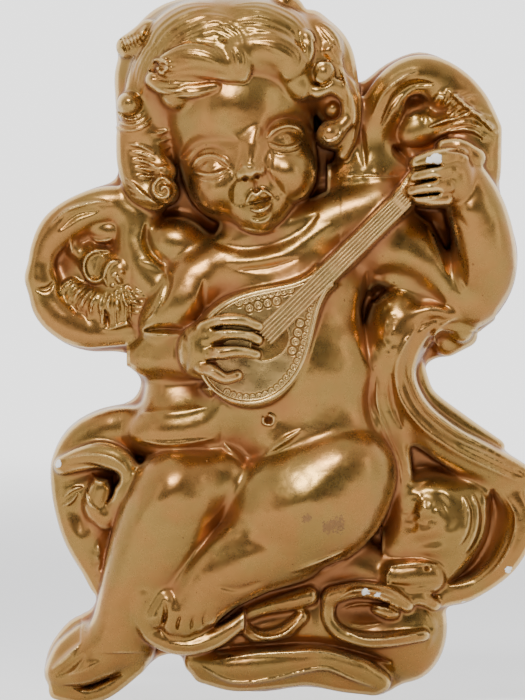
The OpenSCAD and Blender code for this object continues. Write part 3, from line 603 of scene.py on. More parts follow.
def hair_curls_left(g):
    s = Lump(g, (-36, 40), (226, 308), 60, 1.4)
    s.limb([(12, 289, 9, 38), (21, 280, 9, 39), (25, 268, 8, 38), (26, 256, 7.5, 36), (25, 244, 6.5, 33)], 3,
           0.8)
    s.limb([(14, 288, 7, 42), (20, 281, 6.5, 44), (21, 274, 5, 44)], 2)
    s.limb([(10.5, 285, 3.4, 50), (12, 279, 3.2, 51), (10.5, 274, 2.6, 50)], 1.5)
    s.limb([(20, 279, 3, 46), (23, 274, 3, 44), (25, 269, 3, 42), (30, 262, 3.4, 40), (31, 252, 3.2, 37),
            (29.4, 243, 3, 34), (26.5, 236, 2.6, 32)], 1.5)
    s.blob(18, 270, 5, 5.6, 50, 7, 0, 1.5)
    s.blob(22, 256, 4.4, 5.4, 36, 8, 0, 2.0, mode="cut")
    s.limb([(15, 262, 3, 48), (22, 264.6, 3.4, 47), (28, 260, 3.4, 44), (29, 252, 3.2, 42),
            (25, 246.6, 3.2, 43)], 1.6)
    s.blob(21, 244.5, 6, 5.4, 45, 7, 30, 1.5)
    s.blob(22, 255, 3.4, 4, 39, 5, 0, 1.5)
    s.limb([(-26, 300, 4, 34), (-18, 301, 4, 37), (-11, 300, 3.4, 36)], 2)
    s.limb([(-4, 300, 3.6, 37), (2, 301, 4.2, 38), (6, 298, 4, 36)], 2)
    s.stroke([(15, 292), (21, 286), (25, 279)], 8, 1.0, soft=3, strands=4, cut=0.6)
    s.stroke([(8.6, 284), (10.4, 279.5), (9.2, 274)], 1.4, 0.9)
    s.stroke([(13.4, 284.5), (14.6, 278.5), (12, 272.5)], 1.4, -1.4)
    s.stroke([(14, 275), (17, 276.4), (21, 274.6)], 2.4, -2.4)
    s.stroke([(13, 266.4), (17, 264.6), (22, 266.4)], 1.8, -1.6)
    s.stroke([(14, 270), (16, 274), (20.6, 274), (22.6, 270)], 1.5, 0.9)
    s.stroke([(14.4, 268), (16, 265.6), (20, 265.4)], 1.4, 0.8)
    for i in range(4):
        s.stroke([(24 + 2 * i, 274 - 4 * i), (27 + 1.5 * i, 268 - 5 * i), (28 + i, 260 - 6 * i)], 1.6, 1.0)
    s.stroke([(17, 243.5), (20, 240.6), (24.4, 242.4), (26, 246.6)], 1.5, 1.2)
    return s.done()


def right_wing(g):
    s = Lump(g, (-116, -44), (146, 226), 42, 3)
    s.limb([(-60, 213, 8, 24), (-74, 214.5, 8, 25), (-86, 211, 8, 25), (-96, 204, 8, 25),
            (-101, 194, 7.5, 25), (-102.5, 184, 7, 24)], 5, 0.8)
    s.limb([(-103, 182, 6.5, 23), (-100, 171, 7.5, 24), (-93, 163.5, 7.5, 25), (-84, 159.6, 7, 24),
            (-72, 159.4, 6, 23), (-63, 160, 6, 23)], 5, 0.8)
    s.blob(-80, 187, 25, 26, 18, 12, 0, 6)
    s.limb([(-62, 208, 9, 26), (-62, 196, 10, 28), (-58, 186, 10, 30), (-54, 180, 9, 31)], 5)
    s.stroke([(-101, 204), (-92, 212), (-80, 215.4), (-72, 215)], 1.6, 1.3)
    s.stroke([(-96, 203), (-88, 210), (-78, 212)], 3.4, -1.8)
    s.bump(-97, 190, 7, 9, -3)
    s.stroke([(-61, 190), (-55, 188.5), (-50, 185)], 4, 1.0)
    s.stroke([(-58, 206), (-57, 197), (-51, 189)], 4, -2.6)
    s.stroke([(-106, 178), (-101, 178), (-98, 181)], 2.4, -1.6)
    return s.done()


def right_wing_feathers(g):
    s = Lump(g, (-102, -48), (154, 214), 44, 1.6)
    s.limb([(-70, 186, 8, 28), (-78, 188, 7, 25), (-86, 196, 6, 20)], 4)
    s.limb([(-60, 176, 9, 27), (-72, 172, 9, 26), (-84, 172, 8, 23), (-90, 176, 6, 21)], 4)
    s.limb([(-60, 168, 7, 26), (-70, 163.6, 5, 24), (-80, 163.6, 5, 23)], 3)
    s.limb([(-74, 203, 5, 22), (-82, 205, 4.5, 21), (-88, 202, 4, 20), (-88.6, 196, 3.6, 20)], 2)
    # a leaf-shaped curl, a ringlet and a ruffled lump
    s.stroke([(-90, 193), (-90.6, 200), (-87, 205.6), (-82.6, 206)], 1.8, 1.6)
    s.bump(-85.4, 200, 2.8, 4.4, -3.4, -10)
    s.bump(-85, 204.6, 2.4, 1.5, 1.2, 20)
    s.stroke([(-83, 201), (-78, 198.6), (-72, 200)], 2, 1.3)
    s.stroke([(-84, 197), (-77, 194.6), (-70, 196.6)], 1.5, 1.2)
    arc = np.radians(np.linspace(50, 330, 14))
    s.stroke(np.stack([-80 + 5.0 * np.cos(arc), 187.6 + 6.4 * np.sin(arc)], 1), 2.0, 2.2, taper=0.2)
    s.bump(-79.6, 187.6, 3.2, 4.4, -2.2)
    s.stroke([(-83, 193), (-79, 195), (-73, 194)], 1.4, 1.0)
    s.stroke([(-74.6, 178.6), (-76, 184), (-73.4, 189.4), (-69, 190)], 2.2, 1.8)
    for i in range(7):
        s.bump(-70.5 + 2.0 * math.cos(2.4 * i), 183.6 - 1.5 * i + 2, 1.3, 0.9, 1.2, 40 * i)
    # barbs that fan out from the shoulder
    fan = (((-88, 188), (-99, 181)), ((-86, 183), (-96, 176)), ((-84, 180), (-93, 171)),
           ((-81, 178), (-88, 167.5)), ((-77, 177), (-83, 164.5)), ((-73, 176), (-77, 162)),
           ((-69, 175), (-71, 161)), ((-65, 174), (-65, 162)))
    for n, (a, b) in enumerate(fan):
        s.stroke([a, ((a[0] + b[0]) / 2 - 1, (a[1] + b[1]) / 2 + 0.5), b], 3.4, 1.5 + 0.3 * (n % 2),
                 taper=0.3, strands=3, cut=0.55)
    for i in range(12):
        a = math.radians(196 + 11 * i)
        x, z = -74 + 13 * math.cos(a), 190 + 13 * math.sin(a)
        s.stroke([(x, z), (x + 6 * math.cos(a - 0.2), z + 6 * math.sin(a - 0.2)),
                  (x + 11 * math.cos(a), z + 11 * math.sin(a))], 1.9, 1.1 + 0.5 * (i % 3 == 0), taper=0.4)
    for i in range(5):
        s.stroke([(-68, 178 - 2.2 * i), (-62, 176.6 - 2.2 * i), (-54, 177 - 2.4 * i)], 1.5, 0.9)
    s.stroke([(-78, 160), (-71, 161.5), (-66, 163), (-63, 160)], 1.8, 1.5)
    s.stroke([(-76, 170), (-75, 165), (-74.4, 161)], 1.6, -2.0)
    s.stroke([(-66, 168), (-65, 163.6), (-62, 159)], 1.6, -2.0)
    return s.done()


def left_wing(g):
    s = Lump(g, (20, 104), (206, 288), 46, 3)
    s.limb([(36, 222, 10, 27), (38, 238, 9, 28), (41, 251, 9, 31), (47, 261.5, 9, 33), (55, 267.5, 10, 33),
            (64, 268.5, 10, 32), (74, 263, 10, 30), (82, 253, 10, 29), (86, 241, 9, 28), (87, 228, 7, 26)], 5,
           0.8)
    s.blob(62, 248, 22, 20, 23, 14, 0, 6)
    s.limb([(28, 225, 9, 26), (40, 226, 11, 29), (50, 228, 10, 28)], 9, 0.8)
    s.limb([(78, 240, 9, 30), (86, 232, 7, 27), (88, 218, 5, 22)], 4)
    s.stroke([(39, 252), (44, 262), (52, 268.6), (60, 272)], 2.2, 1.4)
    s.stroke([(43, 248), (48, 259), (56, 265.6), (66, 266)], 3.2, -2.6)
    s.stroke([(33, 252), (35, 240), (36, 230)], 3.4, -1.6)
    s.bump(57, 261, 7, 4.6, -3.6, 15)
    s.stroke([(48, 240), (52, 236), (56, 230)], 5, -2.6)
    s.stroke([(85, 228), (85.6, 220), (88, 212)], 1.4, 1.0)
    for i in range(12):
        s.bump(28 + 1.7 * i, 226 + 2.2 * math.sin(1.9 * i), 1.5, 1.1, 0.45, 37 * i)
    return s.done()


def left_wing_feathers(g):
    s = Lump(g, (42, 98), (232, 276), 46, 1.6)
    s.blob(60, 247, 10, 7, 28, 5, 25, 6)
    s.limb([(66, 247, 4, 30), (74, 250, 5, 30), (84, 248, 5, 29), (90, 242, 4.4, 27)], 3)
    s.limb([(70, 262, 4.5, 29), (78, 258, 5, 30), (86, 253, 5, 29), (91, 247, 4, 27)], 3)
    s.stroke([(63, 247.4), (70, 250), (76, 251.6)], 1.8, 1.8)
    s.stroke([(66, 243.6), (73, 246), (82, 246), (88, 241)], 2.0, 1.2)
    for i in range(9):
        s.stroke([(70 + 2.4 * i, 264 - 1.8 * i), (74 + 2.2 * i, 261.4 - 1.9 * i),
                  (77 + 2.0 * i, 257 - 1.6 * i)], 2.4, 1.7 if i % 2 else 1.1, taper=0.3)
    for i in range(14):
        a = math.radians(74 - 9.5 * i)
        x, z = 58 + 14 * math.cos(a), 248 + 12 * math.sin(a)
        reach = 9 + 4 * (i % 2) + 6 * (3 < i < 10)
        s.stroke([(x, z), (x + 0.5 * reach * math.cos(a + 0.25), z + 0.5 * reach * math.sin(a + 0.25)),
                  (x + reach * math.cos(a), z + reach * math.sin(a))], 2.6, 1.5 + 0.5 * (i % 3 == 1),
                 taper=0.4)
    for i in range(9):
        s.bump(66 + 2.6 * i, 259.5 - 0.25 * i * i + 1.2 * math.sin(2.2 * i), 2.0, 1.4, 1.0, 50 * i)
    for i in range(6):
        s.bump(56 + 2.5 * i, 258 + 2.2 * math.sin(1.7 * i), 2.0, 1.5, 1.0, 60 * i)
    for i in range(4):
        s.bump(54 + 3.2 * i, 252 + math.sin(2.0 * i), 1.8, 1.2, 0.7, 45 * i)
    s.stroke([(76, 264.5), (80, 266.5), (82, 268)], 1.8, 1.5)
    return s.done()


def drape_knee(g):
    s = Lump(g, (-106, -50), (42, 132), 44, 3)
    s.limb([(-58, 117, 10, 25), (-71, 117, 10, 22), (-83, 112, 10, 20), (-90, 103, 9, 19), (-91, 90, 8, 19),
            (-87, 74, 8, 19), (-81, 60, 6.5, 19), (-78, 50, 4.4, 19)], 8, 0.8)
    s.blob(-82, 84, 13, 30, 20, 12, 8, 4)
    s.limb([(-94, 102, 4, 25), (-86, 105, 5, 29), (-77, 106.6, 5.6, 31.5), (-69, 103.6, 5.4, 33),
            (-65.6, 97, 5, 32), (-68, 89, 4.6, 30), (-73, 81, 3.6, 26)], 3, 1.0)
    s.blob(-79, 96, 6, 4.2, 24.6, 5, 10, 3.0, mode="cut")
    s.blob(-87, 80, 4.6, 9, 17.5, 6, 8, 3.0, mode="cut")
    s.limb([(-78, 92, 4.6, 27), (-80, 84, 4.6, 26), (-76, 78, 3.4, 25)], 4)
    s.stroke([(-94, 104.6), (-84, 106.8), (-76, 106.6), (-69, 103.6), (-65.4, 99)], 1.8, 1.3)
    s.stroke([(-93, 101.6), (-84, 102.6), (-76, 101.6)], 1.8, -0.9)
    s.stroke([(-60, 97), (-64, 90), (-70, 83)], 1.6, 1.6)
    s.stroke([(-64, 101), (-61, 99), (-60, 95)], 2.4, -1.0)
    s.stroke([(-94, 88), (-90, 91.5), (-85, 93)], 1.6, 1.5)
    s.stroke([(-95, 84), (-90.5, 86.5), (-87, 91)], 1.4, 1.2)
    s.stroke([(-84, 92), (-82.6, 86), (-78, 82.6)], 1.4, 1.2)
    s.stroke([(-73, 98), (-72.6, 91), (-75.5, 85)], 1.4, -1.4)
    s.stroke([(-82, 99), (-78, 95), (-73, 96.6)], 1.6, 1.1)
    s.stroke([(-79, 70), (-78.4, 60), (-78, 50)], 3.4, 1.2)
    for i in range(10):
        s.bump(-78.6 + 0.8 * math.sin(2.3 * i), 66 - 1.7 * i, 1.3, 0.9, 0.7, 55 * i)
    s.bump(-70, 97, 2.6, 3.6, -1.4)
    return s.done()


def drape_arm(g):
    s = Lump(g, (34, 116), (82, 182), 46, 3)
    s.limb([(78, 160, 5, 24), (68, 164, 6, 28), (58, 160, 7, 29), (52, 149, 7, 29), (52, 137, 7.5, 29),
            (58, 124, 8.5, 29), (71, 112.5, 9, 28), (87, 104, 9, 26), (103, 97, 6, 22)], 3, 1.0)
    s.limb([(58, 141, 5, 18), (62, 130, 6, 18), (76, 119, 6, 18), (92, 109, 5, 17)], 4)
    s.limb([(72, 155, 6, 17), (80, 158, 5, 17)], 3)
    s.limb([(42, 146, 5, 29), (43, 131, 5, 28.4), (47, 117, 5, 27), (51, 104, 5, 26), (53, 88, 4, 24)], 7,
           0.8)
    s.blob(49.5, 161, 13, 21, 32, 16, -8, 9)
    s.limb([(54, 166, 2.4, 31), (64, 168.6, 2.4, 32), (74, 166.6, 2.2, 29)], 3)
    s.stroke([(40, 172), (44, 178), (54, 180), (66, 174)], 6, -2.6)
    s.bump(48, 158, 6, 12, 1.4, -10)
    s.blob(70, 156, 6, 3.4, 19.5, 5, 10, 3, mode="cut")
    folds = ([(66, 164), (57, 158), (52.6, 148), (52.4, 138), (58, 126), (70, 115), (86, 107), (102, 99)],
             [(60, 163), (53, 154), (49.4, 143), (51.4, 131), (60, 119), (74, 109), (90, 101), (102, 95)],
             [(70, 161), (62, 156), (57.6, 147), (57, 138), (63, 127), (76, 117), (92, 108), (104, 101)])
    for n, points in enumerate(folds):
        s.stroke(points, 4.2 - n, 1.7 - 0.3 * n, taper=0.2)
        s.stroke([(x + 2.2, z + 2.2) for x, z in points], 3.4, -1.2, taper=0.2)
    s.stroke([(41, 141), (41.4, 128), (46, 115), (50.6, 104), (52.4, 92)], 1.3, 1.2, taper=0.15)
    s.stroke([(47, 142), (48, 130), (52, 118)], 4, -1.2)
    s.stroke([(76, 166), (70, 162.6), (66, 158), (68, 153)], 1.6, 1.2)
    for i in range(12):
        s.bump(46 + 2.2 * math.sin(1.7 * i), 150 + 2.0 * i, 1.4, 1.0, 0.4, 43 * i)
    return s.done()


def drape_swirl(g):
    s = Lump(g, (44, 116), (36, 110), 42, 4)
    s.limb([(94, 93, 5.5, 21), (102, 86, 5.5, 21), (104, 74, 5.5, 21), (98, 62, 5.5, 21), (90, 54, 5, 21),
            (80, 48, 4.6, 20), (70, 45.4, 4.4, 20)], 4, 0.9)
    s.blob(74, 76, 28, 24, 20, 12, 0, 8)
    s.blob(64, 82, 17, 15, 26.5, 12, 12, 8)
    s.blob(78, 77, 10, 18, 27, 12, -14, 8)
    for x, z, rx, rz, height, turn in ((57, 90, 4, 3, 1.6, 20), (65, 92, 5, 3, 1.2, -15),
                                       (72, 90, 4, 5, 1.5, 40), (56, 80, 3, 5, -2.0, 0),
                                       (62, 84, 4, 3, 1.3, 60), (68, 80, 4, 6, 1.5, -30),
                                       (62, 73, 6, 3, 1.2, 10), (73, 72, 4, 6, 1.6, -40),
                                       (66, 66, 7, 3, 1.3, 5), (70, 85, 2, 5, -1.0, 20),
                                       (63, 78, 5, 2, -0.9, 15)):
        s.bump(x, z, rx, rz, height, turn)
    s.limb([(52, 66, 8, 21), (62, 64, 9, 22), (74, 60, 9, 22)], 8, 0.8)
    s.stroke([(91, 92), (92, 80), (89, 68), (82, 58), (72, 51)], 6, -4.6, taper=0.2)
    for n, reach in enumerate((16.5, 20.5, 24.5)):
        arc = np.radians(np.linspace(32 - 4 * n, -48, 9))
        line = np.stack([64 + reach * np.cos(arc), 80 + 1.08 * reach * np.sin(arc)], 1)
        s.stroke(line, 3.0, 1.5 - 0.3 * n, taper=0.4)
        s.stroke(line + (1.9, -0.4), 2.0, -0.7, taper=0.4)
    s.stroke([(96, 90), (101, 80), (99, 68), (92, 57), (82, 50)], 1.8, 1.0)
    s.bump(56, 88, 4, 4, -1.0)
    s.stroke([(52, 90), (56, 94), (64, 96)], 3, 1.0)
    for i in range(22):
        s.bump(60 + 7 * math.cos(2.4 * i) * (i / 22) ** 0.5, 82 + 7 * math.sin(2.4 * i) * (i / 22) ** 0.5,
               1.6, 1.1, 0.55, 53 * i)
    return s.done()


def drape_roll(g):
    s = Lump(g, (36, 80), (40, 70), 40, 1.8)
    s.limb([(50.5, 53.6, 7.6, 27.5), (58, 54, 8.0, 28.4), (64, 54.4, 7.4, 27)], 3, 0.9)
    s.stroke([(45, 58.4), (56, 60), (68, 59.4)], 2.2, 1.0)
    s.stroke([(46, 51), (56, 50.4), (68, 52)], 2.4, -1.0)
    s.stroke([(46.5, 49), (45.6, 54), (47.4, 59)], 1.6, 0.8)
    s.bump(62.6, 57.8, 1.0, 0.8, -1.8)
    return s.done()


def drape_base(g):
    s = Lump(g, (-52, 78), (-4, 72), 44, 3)
    s.blob(10, 34, 52, 24, 22, 14, 0, 6)
    s.blob(54, 32, 18, 24, 22, 14, 0, 6)
    s.blob(46, 54, 22, 12, 22, 12, 0, 6)
    s.blob(20, 58, 24, 12, 23, 12, 10, 6)
    s.limb([(-37, 17, 5, 22), (-20, 15, 7, 26), (0, 17, 7.5, 27), (18, 19, 7, 26), (32, 15, 6, 25),
            (43, 8.5, 4.6, 22)], 3, 1.0)
    s.limb([(-34, 12, 4, 20), (-20, 8.6, 4, 22), (-4, 9.6, 4, 23), (12, 11.6, 4.6, 22), (26, 8.6, 4.4, 21),
            (40, 5.6, 3, 19)], 3, 1.0)
    s.stroke([(-35, 15.6), (-21, 9), (-6, 9.8), (10, 13.6), (20, 14.6), (30, 10.4), (42, 6)], 1.8, 1.2,
             taper=0.15)
    s.stroke([(-30, 18), (-12, 21), (4, 22), (20, 22), (34, 17)], 2.6, 1.2)
    s.stroke([(-22, 23.6), (-4, 25), (14, 25.6), (32, 22), (48, 17)], 4, -3.6)
    # a boat-shaped fold
    s.limb([(-17, 34, 3, 24), (-10, 28.6, 3.4, 26), (0, 30, 3.6, 27), (9, 37, 3.2, 26)], 2, 1.2)
    s.bump(-5, 36, 9, 4, -2.6, 15)
    s.limb([(-14, 38, 3, 25), (0, 42, 4, 27), (12, 46, 4, 28)], 3)
    s.stroke([(-15, 32), (-8, 28.2), (1, 29.6), (9, 36.6)], 1.6, 1.2)
    # a shell-shaped curl with a knob inside
    s.limb([(22, 46, 4, 29), (34, 48.6, 3.6, 32), (46, 46.6, 3.6, 32), (54, 42, 3.2, 29)], 2, 1.1)
    s.limb([(21, 44, 3.6, 28), (21, 36, 3.6, 27), (27, 29.6, 3.4, 27), (38, 27, 3.4, 28), (50, 27.6, 3.2, 27),
            (61, 29, 2.8, 25)], 2, 1.2)
    s.bump(36, 38, 12, 6, -3.6)
    s.blob(44, 39, 8, 4.6, 29, 7, -8, 2)
    s.stroke([(28, 31), (36, 27.6), (48, 28), (60, 30)], 1.5, 1.2)
    s.stroke([(24, 45), (32, 49), (42, 48), (50, 44.6)], 1.6, 1.2)
    for i in range(9):
        s.bump(31 + 2.3 * i, 48.6 - 0.12 * i * i + 0.8 * math.sin(2.6 * i), 1.5, 1.0, 0.9, 61 * i)
    s.stroke([(26, 40), (32, 42), (40, 42), (48, 40)], 1.4, 1.0)
    s.stroke([(28, 34), (36, 33), (44, 34)], 1.4, 0.8)
    s.limb([(52, 44, 2.6, 26), (60, 44.6, 2.6, 26), (66, 42, 2.6, 23)], 1.6)
    s.stroke([(46, 52), (56, 50), (66, 48)], 3, -1.8)
    s.stroke([(62, 40), (66, 32), (63, 22)], 3, 1.0)
    return s.done()


# The mandolin, along its own axis u from the middle of its round end to the neck, and v across it.

BOWL = (-14.0, 151.0)
BOWL_TURN = math.radians(44.5)
BOWL_R = 22.5
NECK_JOINT = 45.0
NECK_END = 93.5
NECK_HALF = 3.6
BOARD_TOP = 46.5
FINGER_TOP = 48.1
STRIP_HALF = 4.5    # half the fingerboard's width at the sound hole
NUT = NECK_END - 2.6


def mandolin_uv(x, z):
    c, s = math.cos(BOWL_TURN), math.sin(BOWL_TURN)
    return (x - BOWL[0]) * c + (z - BOWL[1]) * s, (z - BOWL[1]) * c - (x - BOWL[0]) * s


def mandolin_half(u):
    """Half the body's width at u."""
    tip = NECK_HALF + 0.8
    front = tip + (BOWL_R - tip) * (0.5 + 0.5 * np.cos(np.pi * np.clip(u / NECK_JOINT, 0, 1) ** 1.15))
    return np.where(u < 0, np.sqrt(np.maximum(BOWL_R ** 2 - np.minimum(u, 0) ** 2, 0)), front)


def mandolin_edge(inset, n=150):
    """Points (u, v) around the body, inset from its edge, from one side of the neck round to the other."""
    t = np.linspace(0, 1, n)
    u = np.concatenate([NECK_JOINT * (1 - t[:-1]), -(BOWL_R - inset) * np.sin(t * np.pi / 2)])
    v = np.concatenate([mandolin_half(u[:n - 1]) - inset, (BOWL_R - inset) * np.cos(t * np.pi / 2)])
    return np.concatenate([np.stack([u, v], 1), np.stack([u, -v], 1)[-2::-1]])


def mandolin_bowl(g):
    s = Lump(g, (-46, 32), (118, 196), 50, 1.5)
    _, X, Z, D = s.window(-46, 32, 118, 196)
    u, v = mandolin_uv(X, Z)
    body = np.maximum(np.abs(v) - mandolin_half(u), np.maximum(u - NECK_JOINT, -u - BOWL_R))
    depth = D[None, :, None]
    flare = 2.6 * np.sqrt(np.clip((BOARD_TOP - 1 - depth) / 12, 0, 1))
    s.field[:] = smooth_max(body[:, None, :] * 0.86 - flare, depth - (BOARD_TOP - 0.5), 1.2)
    return s.done()


def mandolin_neck(g):
    s = Lump(g, (10, 62), (174, 226), 52, 1.5)
    _, X, Z, D = s.window(10, 62, 174, 226)
    u, v = mandolin_uv(X, Z)
    depth = D[None, :, None]
    bar = np.maximum(np.abs(v) - NECK_HALF - 0.5, np.maximum(u - NECK_END, 36 - u))[:, None, :]
    flare = 0.10 * np.clip(BOARD_TOP - depth, 0, 14)
    s.field[:] = smooth_max(bar - flare, depth - (BOARD_TOP - 0.3), 1.2)
    return s.done()


def mandolin_pegbox(g):
    s = Lump(g, (42, 72), (204, 236), 54, 1.5)
    s.limb([(52, 217.5, 4.0, 47.6), (58, 224.5, 3.6, 47.2), (61.5, 230.5, 3.2, 46)], 1, 1.2)
    s.stroke([(50, 219), (53, 224.6), (57, 230)], 1.4, 1.0)
    return s.done()


PIECES = (back_slab, torso, right_upper_arm, right_forearm, left_upper_arm, left_forearm, left_leg, left_shin,
          left_foot, right_leg, right_foot, head, hair_crown, forelock, hair_curls_right, hair_curls_left,
          right_wing, right_wing_feathers, left_wing, left_wing_feathers, drape_knee, drape_arm, drape_swirl,
          drape_roll, drape_base, mandolin_bowl, mandolin_neck, mandolin_pegbox, right_hand, left_hand)


def assemble(g, lumps):
    """Presses the pieces together: the joined field, and the number of the piece at each point."""
    joined = np.full(g.n, FAR, np.float32)
    best = joined.copy()
    owner = np.zeros(g.n, np.uint8)
    for n, s in enumerate(lumps, 1):
        at = slice(*s.i), slice(*s.j), slice(*s.k)
        near = s.field < best[at]
        best[at] = np.where(near, s.field, best[at])
        owner[at][near] = n
        joined[at] = smooth_min(joined[at], s.field, s.fillet)
    return joined, owner


# Casting: closed meshes out of the clay.

CORNERS = [(a, b, c) for a in (0, 1) for b in (0, 1) for c in (0, 1)]


def surface_points(g, field, owner):
    """One point for each cell that the surface or a joint between pieces passes through."""
    shape = tuple(n - 1 for n in owner.shape)

    def part(a, o):
        return a[o[0]:o[0] + shape[0], o[1]:o[1] + shape[1], o[2]:o[2] + shape[2]]
    low = part(owner, CORNERS[0]).copy()
    high = low.copy()
    for o in CORNERS[1:]:
        np.minimum(low, part(owner, o), out=low)
        np.maximum(high, part(owner, o), out=high)
    cells = np.flatnonzero(low != high)
    number = np.full(low.size, -1, np.int32)
    number[cells] = np.arange(len(cells), dtype=np.int32)
    at = np.stack(np.unravel_index(cells, shape), 1)
    value = {o: field[at[:, 0] + o[0], at[:, 1] + o[1], at[:, 2] + o[2]] for o in CORNERS}
    total = np.zeros((len(cells), 3), np.float32)
    count = np.zeros(len(cells), np.float32)
    for o in CORNERS:
        for axis in range(3):
            if o[axis]:
                continue
            far = tuple(1 if i == axis else o[i] for i in range(3))
            a, b = value[o], value[far]
            crossed = (a < 0) != (b < 0)
            t = np.where(crossed, a / np.where(crossed, a - b, 1), 0)
            for i in range(3):
                total[:, i] += np.where(crossed, o[i] + (t if i == axis else 0), 0)
            count += crossed
    outside = count > 0
    place = np.where(outside[:, None], total / np.maximum(count, 1)[:, None], 0.5)
    return (place + at) * g.step + g.lo, at, outside, number, shape


def surface_rings(owner, number, shape):
    """Four points round each lattice edge whose ends belong to different pieces, and the two pieces."""
    stride = (shape[1] * shape[2], shape[2], 1)
    rings, first, second = [], [], []
    for axis in range(3):
        u, v = (axis + 1) % 3, (axis + 2) % 3
        here = [slice(1, -1)] * 3
        here[axis] = slice(0, -1)
        there = list(here)
        there[axis] = slice(1, None)
        a, b = owner[tuple(here)], owner[tuple(there)]
        e = np.flatnonzero(a != b)
        base = list(np.unravel_index(e, a.shape))
        for w in (u, v):
            base[w] = base[w] + 1
        c = base[0] * stride[0] + base[1] * stride[1] + base[2] * stride[2]
        rings.append(number[np.stack([c, c - stride[u], c - stride[u] - stride[v], c - stride[v]], 1)])
        first.append(a.ravel()[e])
        second.append(b.ravel()[e])
    return np.concatenate(rings), np.concatenate(first), np.concatenate(second)


def without_folds(faces):
    """The faces without the pairs that lie back to back on the same points."""
    _, inverse, count = np.unique(np.sort(faces, 1), axis=0, return_inverse=True, return_counts=True)
    return faces[count[inverse.reshape(-1)] == 1]


def cast(g, field, owner, joint=4, flat=12):
    """The pieces as closed meshes, by number: (points, normals, quads, triangles). Hidden joints and the flat
    back are gathered into blocks of joint and flat cells, because they need few points."""
    owner = np.where(field < 0, owner, 0).astype(np.uint8)
    place, at, outside, number, shape = surface_points(g, field, owner)
    ring, a, b = surface_rings(owner, number, shape)
    skin = (a == 0) | (b == 0)
    q = ring[skin]
    turn = np.where(b[skin] == 0, 1, -1)[:, None]
    n = np.cross(place[q[:, 2]] - place[q[:, 0]], place[q[:, 3]] - place[q[:, 1]]) * turn
    normal = np.stack([sum(np.bincount(q[:, c], n[:, i], len(place)) for c in range(4)) for i in range(3)], 1)
    size = np.linalg.norm(normal, axis=1, keepdims=True)
    normal = np.where(size > 1e-12, normal / np.maximum(size, 1e-12), [0, 1, 0])
    merged = np.arange(len(place))
    back = outside & (normal[:, 1] < -0.999) & (place[:, 1] < 0.1)
    for group, block, least in ((~outside, joint, 1), (back, flat, flat * flat)):
        i = np.flatnonzero(group)
        key = ((at[i, 0] // block) * 4096 + at[i, 1] // block) * 4096 + at[i, 2] // block
        _, inverse, count = np.unique(key, return_inverse=True, return_counts=True)
        whole = count[inverse.reshape(-1)] >= least
        i, key = i[whole], key[whole]
        _, first, inverse = np.unique(key, return_index=True, return_inverse=True)
        inverse = inverse.reshape(-1)
        merged[i] = i[first][inverse]
        for axis in range(3):
            place[i[first], axis] = np.bincount(inverse, place[i, axis]) / np.bincount(inverse)
    ring = merged[ring]
    pieces = {}
    for piece in np.unique(owner[owner > 0]):
        f = np.concatenate([ring[a == piece], ring[b == piece][:, ::-1]])
        same = np.stack([f[:, i] == f[:, (i + 1) % 4] for i in range(4)], 1)
        quads = f[(same.sum(1) == 0) & (f[:, 0] != f[:, 2]) & (f[:, 1] != f[:, 3])]
        one = same.sum(1) == 1
        start = same[one].argmax(1)
        t = np.stack([f[one][np.arange(one.sum()), (start + 1 + i) % 4] for i in range(3)], 1)
        t = t[(t[:, 0] != t[:, 1]) & (t[:, 1] != t[:, 2]) & (t[:, 0] != t[:, 2])]
        quads, t = without_folds(quads), without_folds(t)
        used, inverse = np.unique(np.concatenate([quads.ravel(), t.ravel()]), return_inverse=True)
        inverse = inverse.reshape(-1)
        pieces[int(piece)] = (place[used], normal[used], inverse[:quads.size].reshape(-1, 4),
                              inverse[quads.size:].reshape(-1, 3))
    return pieces


def crest_map(g, field):
    """How far the front surface stands off the wall above each place."""
    j = np.arange(g.n[1])[None, :, None]
    top = np.where(field < 0, j, -1).max(1)
    i, k = np.indices(top.shape)
    low = field[i, np.maximum(top, 0), k]
    high = field[i, np.minimum(top + 1, g.n[1] - 1), k]
    t = np.clip(low / np.where(low < high, low - high, -1), 0, 1)
    return np.where(top < 0, 0, g.lo[1] + g.step * (top + t)).astype(np.float32)


def sample(g, a, x, z):
    """The map a read at places x, z, between its points."""
    u, w = (x - g.lo[0]) / g.step, (z - g.lo[2]) / g.step
    i = np.clip(u.astype(int), 0, g.n[0] - 2)
    k = np.clip(w.astype(int), 0, g.n[2] - 2)
    u, w = u - i, w - k
    return (a[i, k] * (1 - u) * (1 - w) + a[i + 1, k] * u * (1 - w)
            + a[i, k + 1] * (1 - u) * w + a[i + 1, k + 1] * u * w)


# Placing: from drawn millimetres to the frame.

def to_frame(x, depth, z):
    return np.stack([np.asarray(x) * MM * SCALE, -np.asarray(depth) * MM * DEPTH_SCALE,
                     (np.asarray(z) - FOOT_TO_MIDDLE) * MM * SCALE], -1)


def on_mandolin(u, v, depth):
    """A place on the mandolin, given along and across its axis, in the frame."""
    u, v = np.asarray(u, float), np.asarray(v, float)
    c, s = math.cos(BOWL_TURN), math.sin(BOWL_TURN)
    return to_frame(BOWL[0] + u * c - v * s, depth + 0 * u, BOWL[1] + u * s + v * c)


